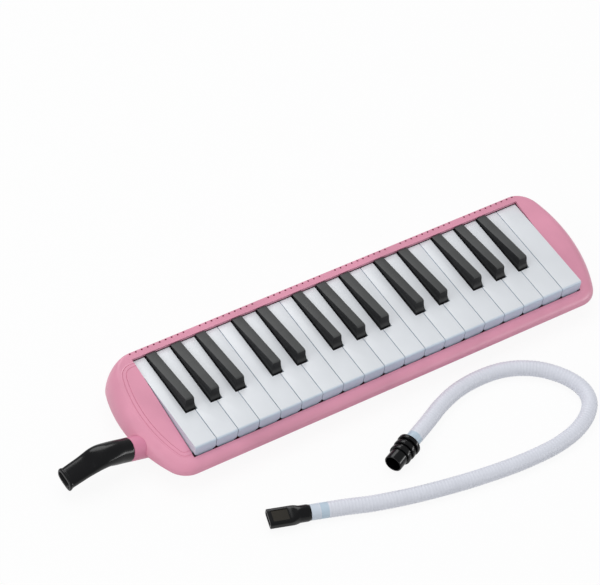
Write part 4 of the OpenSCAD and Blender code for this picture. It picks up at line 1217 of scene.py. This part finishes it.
@dataclass
class Keyboard:
    """The keys with softened edges, and on white ones rounded lower front corners.

    White fronts and sides get painted bluish shade, and black tops a painted sheen.
    """

    plan: CasePlan
    finishes: Finishes
    whites: int = 19
    blacks: int = 13
    white_edge: float = 0.45
    black_edge: float = 0.6
    pad_top_z: float = 21.97
    pad_front_y: float = 23.0
    corner_z: float = 26.0
    corner_r: float = 2.4
    corner_steps: int = 6
    corner_drop: float = 8.0
    corner_run: Pair = (-1.0, 4.0)
    cap_depth: float = 15.0
    soft_edge_l: float = 1.5
    soft_edge_a: float = 35.0
    sharp_a: float = 28.0

    def corner_bars(self, piece: Piece) -> Piece:
        """Returns the two bars that round off the lower front corners of a white cap."""
        xs = [v.co.x / MM for v in piece.data.vertices]
        front = min(v.co.y for v in piece.data.vertices) / MM
        z, r, bars = self.corner_z, self.corner_r, []
        for x, side in ((min(xs), 1), (max(xs), -1)):
            line = [(x - side, z - self.corner_drop), (x - side, z + r)]
            line += [(x + side * r * out, z + r * up) for out, up in quarter(self.corner_steps)]
            line += [(x + side * r, z - self.corner_drop)]
            rings = [[(px, front + run, pz) for px, pz in line[::side]] for run in self.corner_run]
            bars.append(new_piece("corner_bar", loft(rings)))
        join(*bars)
        return bars[0]

    def is_soft(self, edge: bmesh.types.BMEdge) -> bool:
        """Returns whether an edge is one of a cap's long outer edges."""
        low = (self.plan.white_top_z - self.cap_depth) * MM
        return (len(edge.link_faces) == 2 and edge.is_convex
                and edge.calc_length() > self.soft_edge_l * MM
                and edge.calc_face_angle(0) > math.radians(self.soft_edge_a)
                and min(v.co.z for v in edge.verts) > low)

    def softened(self, node: str, name: str, edge: float) -> Piece:
        """Copies a key's solid and softens the long edges of its cap.

        Args:
            node: The key's node.
            name: The piece's name.
            edge: Width of the softened edges.

        Returns:
            The piece.
        """
        mesh = bpy.data.meshes.new(name)
        with reshaped(mesh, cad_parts[node].data) as shape:
            bmesh.ops.remove_doubles(shape, verts=shape.verts, dist=1e-6)
            bmesh.ops.dissolve_limit(shape, angle_limit=math.radians(1), verts=shape.verts,
                                     edges=shape.edges)
            shape.normal_update()
            chosen = [e for e in shape.edges if self.is_soft(e)]
            bmesh.ops.bevel(shape, geom=chosen, offset=edge * MM, segments=3, profile=0.5,
                            affect="EDGES", clamp_overlap=True)
        piece = linked(name, mesh)
        ease(piece, self.sharp_a)
        return piece

    def pad_faces(self, piece: Piece) -> None:
        """Gives the valve pad's faces the felt finish."""
        piece.data.materials.append(self.finishes.of(Slot.FELT))
        for face in piece.data.polygons:
            if face.center.z < self.pad_top_z * MM and face.center.y > self.pad_front_y * MM:
                face.material_index = 1

    def build(self) -> None:
        """Builds every key."""
        runs = (("white", self.whites, Slot.KEY_WHITE, self.white_edge, self.white_shade),
                ("black", self.blacks, Slot.KEY_BLACK, self.black_edge, self.black_top_sheen))
        for kind, count, slot, edge, rule in runs:
            for i in range(1, count + 1):
                node = f"{kind}_key_{i:02d}"
                piece = self.softened(node, f"{kind}_key_cap_{i:02d}", edge)
                if slot is Slot.KEY_WHITE:
                    cut(piece, self.corner_bars(piece))
                    ease(piece, self.sharp_a)
                piece.data.materials.clear()
                piece.data.materials.append(self.finishes.of(slot))
                self.pad_faces(piece)
                # Painted bluish shade on white fronts and sides, and a painted sheen on black tops.
                shade_faces(piece, rule)
                dress(piece, slot, self.finishes, node, node)

    def white_shade(self, face: bpy.types.MeshPolygon) -> float:
        """Returns how far a face of a white key is a front or side, which get painted bluish shade.
        """
        return min(max(-face.normal.y, 0.6 * abs(face.normal.x), 0.0), 1.0)

    def black_top_sheen(self, face: bpy.types.MeshPolygon) -> float:
        """Returns how far a face of a black key is its top, where a lighter painted sheen goes."""
        return smooth_step((face.normal.z - 0.35) / 0.5)


@dataclass
class BlowHose:
    """The ribbed hose with its plug adapter and its own mouthpiece."""

    finishes: Finishes
    diameter: float = 12.8
    rib_depth: float = 0.22
    bore: float = 9.4
    ribs: int = 164
    cuffs: Pair = (8.0, 14.0)
    cuff_d: float = 12.4
    ring_at: float = 7.0
    stations: int = 1480
    sides: int = 32
    solid_sides: int = 8
    tail_l: float = 8.0
    tail_gap: float = 0.4
    tail_wall: float = 1.0
    tail_lap: float = 0.6
    ridges: int = 3
    ridge_d: float = 19.2
    ridge_step: float = 0.3
    ridge_pitch: float = 6.0
    ridge_w: float = 3.5
    ridge_bevel: float = 0.8
    bevel_steps: int = 5
    groove_d: float = 15.2
    nozzle_l: float = 9.7
    nozzle_wall: float = 1.1
    spigot_d: float = 14.8
    tip: Vec = (33.0, 16.0, 6.0)
    collar_l: float = 13.0
    collar_r: float = 6.7
    change: Pair = (-5.0, 4.0)
    change_steps: int = 14
    bar_power: float = 6.0
    slot_power: float = 5.0
    slot_walls: Pair = (2.0, 1.4)
    panel_depth: float = 0.5
    panel_edge: float = 3.0
    route: tuple[Vec, ...] = (
        (-18.1, -103.1, 9.7), (-9, -98.95, 9.7), (2, -94, 9.5), (12.5, -88.9, 9), (26, -82.3, 8.2),
        (45, -75.7, 7), (65, -72.8, 6.5), (86, -73.8, 6.5), (104, -79.2, 6.5), (119.5, -89, 6.5),
        (131.5, -103, 6.5), (137.5, -118, 6.5), (135.5, -132, 6.5), (125, -143.5, 6.5),
        (108, -152, 6.5), (87, -156.5, 6.5), (65, -157.5, 6.5), (40, -156.5, 6.5), (8, -153, 6.5),
        (-20, -148.5, 6.5), (-47, -143, 6.5), (-74, -136, 6.6), (-92, -129.9, 6.7),
        (-107, -125.2, 6.8), (-121.4, -120.8, 6.8))

    @property
    def tail_r(self) -> float:
        """Radius of the tails, which fit the bore of the solid hose with its flat sides."""
        return (self.bore - self.tail_gap) / 2 * math.cos(math.pi / self.solid_sides)

    def line(self, steps: int = 12) -> list[Vector]:
        """Draws the middle line as a smooth curve through the route.

        Args:
            steps: Pieces between two points of the route.

        Returns:
            Points along the line.
        """
        p = [Vector(q) for q in self.route]
        last = len(p) - 1
        points = []
        for i in range(last):
            a, d = p[i], p[i + 1]
            b = a + (d - p[max(i - 1, 0)]) / 6
            c = d - (p[min(i + 2, last)] - a) / 6
            for k in range(steps):
                t = k / steps
                u = 1 - t
                points.append(u ** 3 * a + 3 * u * u * t * b + 3 * u * t * t * c + t ** 3 * d)
        return [*points, p[last]]

    def end_place(self, far: bool) -> Matrix:
        """Returns the matrix that lays +Z away from the hose at one of its ends."""
        line = self.line()
        if far:
            line.reverse()
        near = next(p for p in line if (p - line[0]).length > self.diameter / 4)
        way = line[0] - near
        lay = Matrix.Rotation(math.pi / 2, 4, "Y")
        turn = Matrix.Rotation(math.atan2(way.y, way.x), 4, "Z") @ lay
        return Matrix.Translation(line[0]) @ turn

    def build_tube(self) -> tuple[Piece, list[Vector]]:
        """Builds the ribbed tube.

        Returns:
            The piece, and its middle line in metres.
        """
        line = [p * MM for p in self.line()]
        tube = new_piece("ribbed_hose", ([tuple(p) for p in line], []), 1)
        steps = len(line) - 1
        tube.data.edges.add(steps)
        tube.data.edges.foreach_set("vertices", [k for i in range(steps) for k in (i, i + 1)])
        tube.data.update()
        ribbed_tube_tree().run(
            tube, Stations=self.stations, Sides=self.sides, Ribs=self.ribs,
            Radius=self.diameter / 2 * MM, Rib_Depth=self.rib_depth * MM,
            Start_Cuff=self.cuffs[0] * MM, End_Cuff=self.cuffs[1] * MM,
            Cuff_Radius=self.cuff_d / 2 * MM, Ring_At=self.ring_at * MM,
            Bore_Radius=self.bore / 2 * MM, Material=self.finishes.of(Slot.HOSE_FROST))
        self.close_ends(tube)
        ease(tube, 60)
        return tube, line

    def close_ends(self, tube: Piece) -> None:
        """Joins the bore to the outside at both ends of the tube."""
        start, nearby = Vector(self.route[0]) * MM, 20 * MM
        with reshaped(tube.data) as shape:
            rims = [e for e in shape.edges if e.is_boundary]
            for near in (True, False):
                rim = [e for e in rims if ((e.verts[0].co - start).length < nearby) is near]
                bmesh.ops.bridge_loops(shape, edges=rim)
            bmesh.ops.recalc_face_normals(shape, faces=shape.faces)

    def build_adapter(self) -> Piece:
        """Builds the plug adapter with its ridges and returns the piece."""
        tail_r, low, arc = self.tail_r, self.groove_d / 2, quarter(self.bevel_steps)
        ridged = (self.ridges - 1) * self.ridge_pitch + self.ridge_w
        end, r, bore = ridged + self.nozzle_l, self.spigot_d / 2, tail_r - self.tail_wall
        profile = [(bore, -self.tail_l), (tail_r, -self.tail_l), (tail_r, 0)]
        for i in range(self.ridges):
            s, top = i * self.ridge_pitch, self.ridge_d / 2 - i * self.ridge_step
            bevel = min(self.ridge_bevel, (top - low) / 2)
            profile += [(low, s), (top - bevel, s)]
            profile += [(top - bevel * up, s + bevel * out) for out, up in arc[1:-1]]
            profile += [(top, s + bevel), (top, s + self.ridge_w - bevel)]
            profile += [(top - bevel * out, s + self.ridge_w - bevel * up) for out, up in arc[1:]]
            profile += [(low, s + self.ridge_w)]
        inner = r - self.nozzle_wall
        profile += [(r, ridged), (r, end - 0.8), (r - 0.1, end - 0.3), (r - 0.4, end),
                    (inner + 0.2, end), (inner, end - 0.2), (inner, ridged),
                    (bore, ridged - self.ridge_w)]
        adapter = new_piece("hose_plug", moved(lathe(profile), self.end_place(False)))
        ease(adapter)
        shade_faces(adapter, lambda face: 0.0)
        return dress(adapter, Slot.MOUTH_BLACK, self.finishes, ROOT, "hose_adapter")

    def bar_ring(self, s: float, half_w: float, half_t: float, power: float = 2) -> Ring:
        """Draws one section of the hose's mouthpiece, from round to a flat bar.

        Args:
            s: Place along the mouthpiece.
            half_w: Half of its width.
            half_t: Half of its thickness.
            power: 2 for an oval, and more for a squarer bar.

        Returns:
            The section.
        """
        return [(thick, wide, s) for thick, wide in oval(half_t, half_w, power, 64)]

    def build_mouthpiece(self) -> Piece:
        """Builds the hose's own flat mouthpiece with its sunk panel and returns the piece."""
        (length, width, thick), collar_r, tail_r = self.tip, self.collar_r, self.tail_r
        half_w, half_t, bore = width / 2, thick / 2, tail_r - self.tail_wall
        start, end = (self.collar_l + d for d in self.change)
        outer = [self.bar_ring(s, r, r) for s, r in (
            (0, collar_r - 0.9), (0.2, collar_r - 0.6), (2, collar_r - 0.05), (2.4, collar_r))]
        for i in range(self.change_steps + 1):
            t = i / self.change_steps
            k = smooth_step(t)
            outer.append(self.bar_ring(mix(start, end, t), mix(collar_r, half_w, k),
                                       mix(collar_r, half_t, k), mix(2, self.bar_power, k)))
        outer += [self.bar_ring(s, half_w - d, half_t - d, self.bar_power) for s, d in (
            (length - 0.6, 0), (length - 0.2, 0.1), (length, 0.4))]
        inner = [self.bar_ring(s, bore, bore) for s in (0, start)]
        inner += [self.bar_ring(s, half_w - self.slot_walls[0], half_t - self.slot_walls[1],
                                self.slot_power) for s in (end, length)]
        place = self.end_place(True)
        tip = new_piece("hose_tip", moved(wall(outer, inner, False), place))
        floor_x, edge = self.panel_depth - half_t, self.panel_edge
        panel = block((-thick, floor_x), (edge - half_w, half_w - edge), (end, length - edge))
        cut(tip, new_piece("panel_block", moved(panel, place)))
        back, lap = place.inverted(), self.tail_lap
        foot, air = -self.tail_l, bore - 0.1
        tail = lathe([(air, lap), (air, foot), (tail_r, foot), (tail_r, lap)])
        join(tip, new_piece("tip_tail", moved(tail, place)))
        ease(tip)

        def sunk(face: bpy.types.MeshPolygon) -> float:
            """Returns 1 on the floor of the sunk panel."""
            at = back @ (face.center / MM)
            return 1.0 if abs(at.x - floor_x) < 0.02 and abs(at.y) < half_w - 2 else 0.0

        shade_faces(tip, sunk)
        return dress(tip, Slot.MOUTH_BLACK, self.finishes, ROOT, "hose_mouthpiece")

    def build(self) -> None:
        tube, line = self.build_tube()
        pieces = [self.build_adapter(), self.build_mouthpiece()]
        dress(tube, Slot.HOSE_FROST, self.finishes, ROOT, "blow_hose")


class InnerWorks:
    """The works inside the case, which keep their solids and get fuller finishes."""

    SLOTS = {
        Slot.INNER_RESIN: ("wind_chest", "chest_cover", "air_duct"),
        Slot.REED_BRASS: ("bass_reed_plate", "treble_reed_plate", "reed_tongues"),
        Slot.SPRING_BRASS: ("key_springs",),
        Slot.STEEL: ("key_axle", "chest_screws", "cover_screws", "reed_plate_screws",
                     "drain_spring"),
        Slot.FELT: ("white_stop_felt", "black_stop_felt"),
        Slot.RUBBER: ("cover_gasket", "drain_valve"),
        Slot.CASE_PINK: ("drain_button",),
    }

    def dress(self, finishes: Finishes) -> None:
        """Gives every inner solid its finish."""
        for slot, names in self.SLOTS.items():
            for name in names:
                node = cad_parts[name]
                for holder in node.material_slots:
                    holder.link = "OBJECT"
                    holder.material = finishes.of(slot)
                LOG.info("%s keeps its solid in %s", name, slot.value)


@dataclass(frozen=True)
class Softbox:
    """One lamp of the studio.

    Attributes:
        name: The lamp's name.
        at: Where it hangs, in metres.
        size: Its width and height.
        power: Its power in watts.
        lights: Whether it lights matt surfaces.
        mirrors: Whether it is seen in polished ones.
    """

    name: str
    at: Vec
    size: Pair
    power: float
    lights: bool = True
    mirrors: bool = True


@dataclass(frozen=True)
class Studio:
    """The camera, the pale floor and the soft lamps."""

    azimuth: float = -40.18
    elevation: float = 48.74
    roll: float = -10.0
    eye: Vec = (-0.99756, -1.10229, 1.75161)
    lens: float = 173.45
    sensor: float = 36.0
    clip: Pair = (0.05, 50.0)
    ambient: float = 0.55
    sky: tuple[float, float, float, float] = (0.97, 0.985, 1, 1)
    floor_half: float = 12000.0
    floor_z: float = -0.2
    floor_grey: float = 0.86
    floor_glow: float = 0.92
    lamps: tuple[Softbox, ...] = (
        Softbox("overhead_softbox", (-0.1, 0.5, 2.6), (2.6, 2.6), 31.0, mirrors=False),
        Softbox("left_softbox", (-2.4, 0.2, 1.5), (1.6, 1.6), 11.5),
        Softbox("front_strip", (1.65, -1.45, 0.5), (1.7, 0.45), 18.0, lights=False),
        Softbox("back_softbox", (0.1, 2.0, 1.75), (2.2, 1.3), 26.0, lights=False))

    def build_camera(self) -> None:
        """Makes the camera at the viewing angle and makes it the scene's own."""
        az, el, roll = (math.radians(a) for a in (self.azimuth, self.elevation, self.roll))
        back = Vector((math.sin(az) * math.cos(el), -math.cos(az) * math.cos(el), math.sin(el)))
        right = Vector((math.cos(az), math.sin(az), 0))
        up = back.cross(right)
        rows = (math.cos(roll) * right - math.sin(roll) * up,
                math.sin(roll) * right + math.cos(roll) * up, back)
        data = bpy.data.cameras.new("camera")
        data.lens, data.sensor_width = self.lens, self.sensor
        data.clip_start, data.clip_end = self.clip
        camera = linked("camera", data)
        camera.matrix_world = Matrix.Translation(self.eye) @ Matrix(rows).transposed().to_4x4()
        bpy.context.scene.camera = camera

    def white_to_camera(self, graph: NodeGraph) -> Socket:
        """Returns a value of 1 for rays that should see the plain background."""
        path = graph.add("ShaderNodeLightPath")
        total = path.outputs["Is Camera Ray"]
        for name in ("Is Glossy Ray", "Is Transmission Ray"):
            total = graph.math("MAXIMUM", total, path.outputs[name])
        return total

    def build_floor(self) -> None:
        """Makes the floor, which keeps a faint part of the shadow."""
        half, grey = self.floor_half, self.floor_grey
        corners = [(x, y, self.floor_z) for x, y in (
            (-half, -half), (half, -half), (half, half), (-half, half))]
        floor = new_piece("floor", (corners, [(0, 1, 2, 3)]))
        material = bpy.data.materials.new("pale_floor")
        material.use_nodes = True
        graph = NodeGraph(material.node_tree)
        matte = graph.add("ShaderNodeBsdfDiffuse", {"Color": (grey, grey, grey, 1)})
        glow = graph.add("ShaderNodeEmission")
        share = graph.math("MULTIPLY", self.white_to_camera(graph), self.floor_glow)
        both = graph.add("ShaderNodeMixShader", {
            "Fac": share, 1: matte.outputs[0], 2: glow.outputs[0]})
        graph.add("ShaderNodeOutputMaterial", {"Surface": both.outputs[0]})
        floor.data.materials.append(material)

    def build_world(self) -> None:
        """Makes the even light round the object and the white that the camera sees."""
        world = bpy.data.worlds.new("studio")
        world.use_nodes = True
        graph = NodeGraph(world.node_tree)
        sky = graph.add("ShaderNodeBackground", {"Color": self.sky, "Strength": self.ambient})
        seen = graph.add("ShaderNodeBackground", {"Color": (1, 1, 1, 1)})
        path = graph.add("ShaderNodeLightPath")
        both = graph.add("ShaderNodeMixShader", {
            "Fac": path.outputs["Is Camera Ray"], 1: sky.outputs[0], 2: seen.outputs[0]})
        graph.add("ShaderNodeOutputWorld", {"Surface": both.outputs[0]})
        bpy.context.scene.world = world

    def build_lamps(self) -> None:
        """Makes the soft lamps, which all look at the middle of the object."""
        for box in self.lamps:
            data = bpy.data.lights.new(box.name, "AREA")
            data.shape, data.energy = "ELLIPSE", box.power
            data.size, data.size_y = box.size
            lamp = linked(box.name, data)
            lamp.location = box.at
            lamp.rotation_euler = (-Vector(box.at)).to_track_quat("-Z", "Y").to_euler()
            lamp.visible_diffuse, lamp.visible_glossy = box.lights, box.mirrors

    def build(self) -> None:
        """Makes the floor, the world and the lamps."""
        bpy.context.scene.view_settings.view_transform = "Standard"
        self.build_floor()
        self.build_world()
        self.build_lamps()


def main() -> None:
    """Builds the looks in order."""
    logging.basicConfig(level=logging.INFO)
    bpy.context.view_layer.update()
    studio = Studio()
    studio.build_camera()
    finishes = Finishes()
    BlowHose(finishes).build()
    plan = CasePlan()
    shells = CaseShells(plan, finishes)
    shells.build_upper()
    shells.build_lower()
    shells.build_screws()
    end = BlowEnd(finishes)
    end.build_socket()
    end.build_mouthpiece()
    Keyboard(plan, finishes).build()
    InnerWorks().dress(finishes)
    studio.build()


if __name__ == "__main__":
    main()
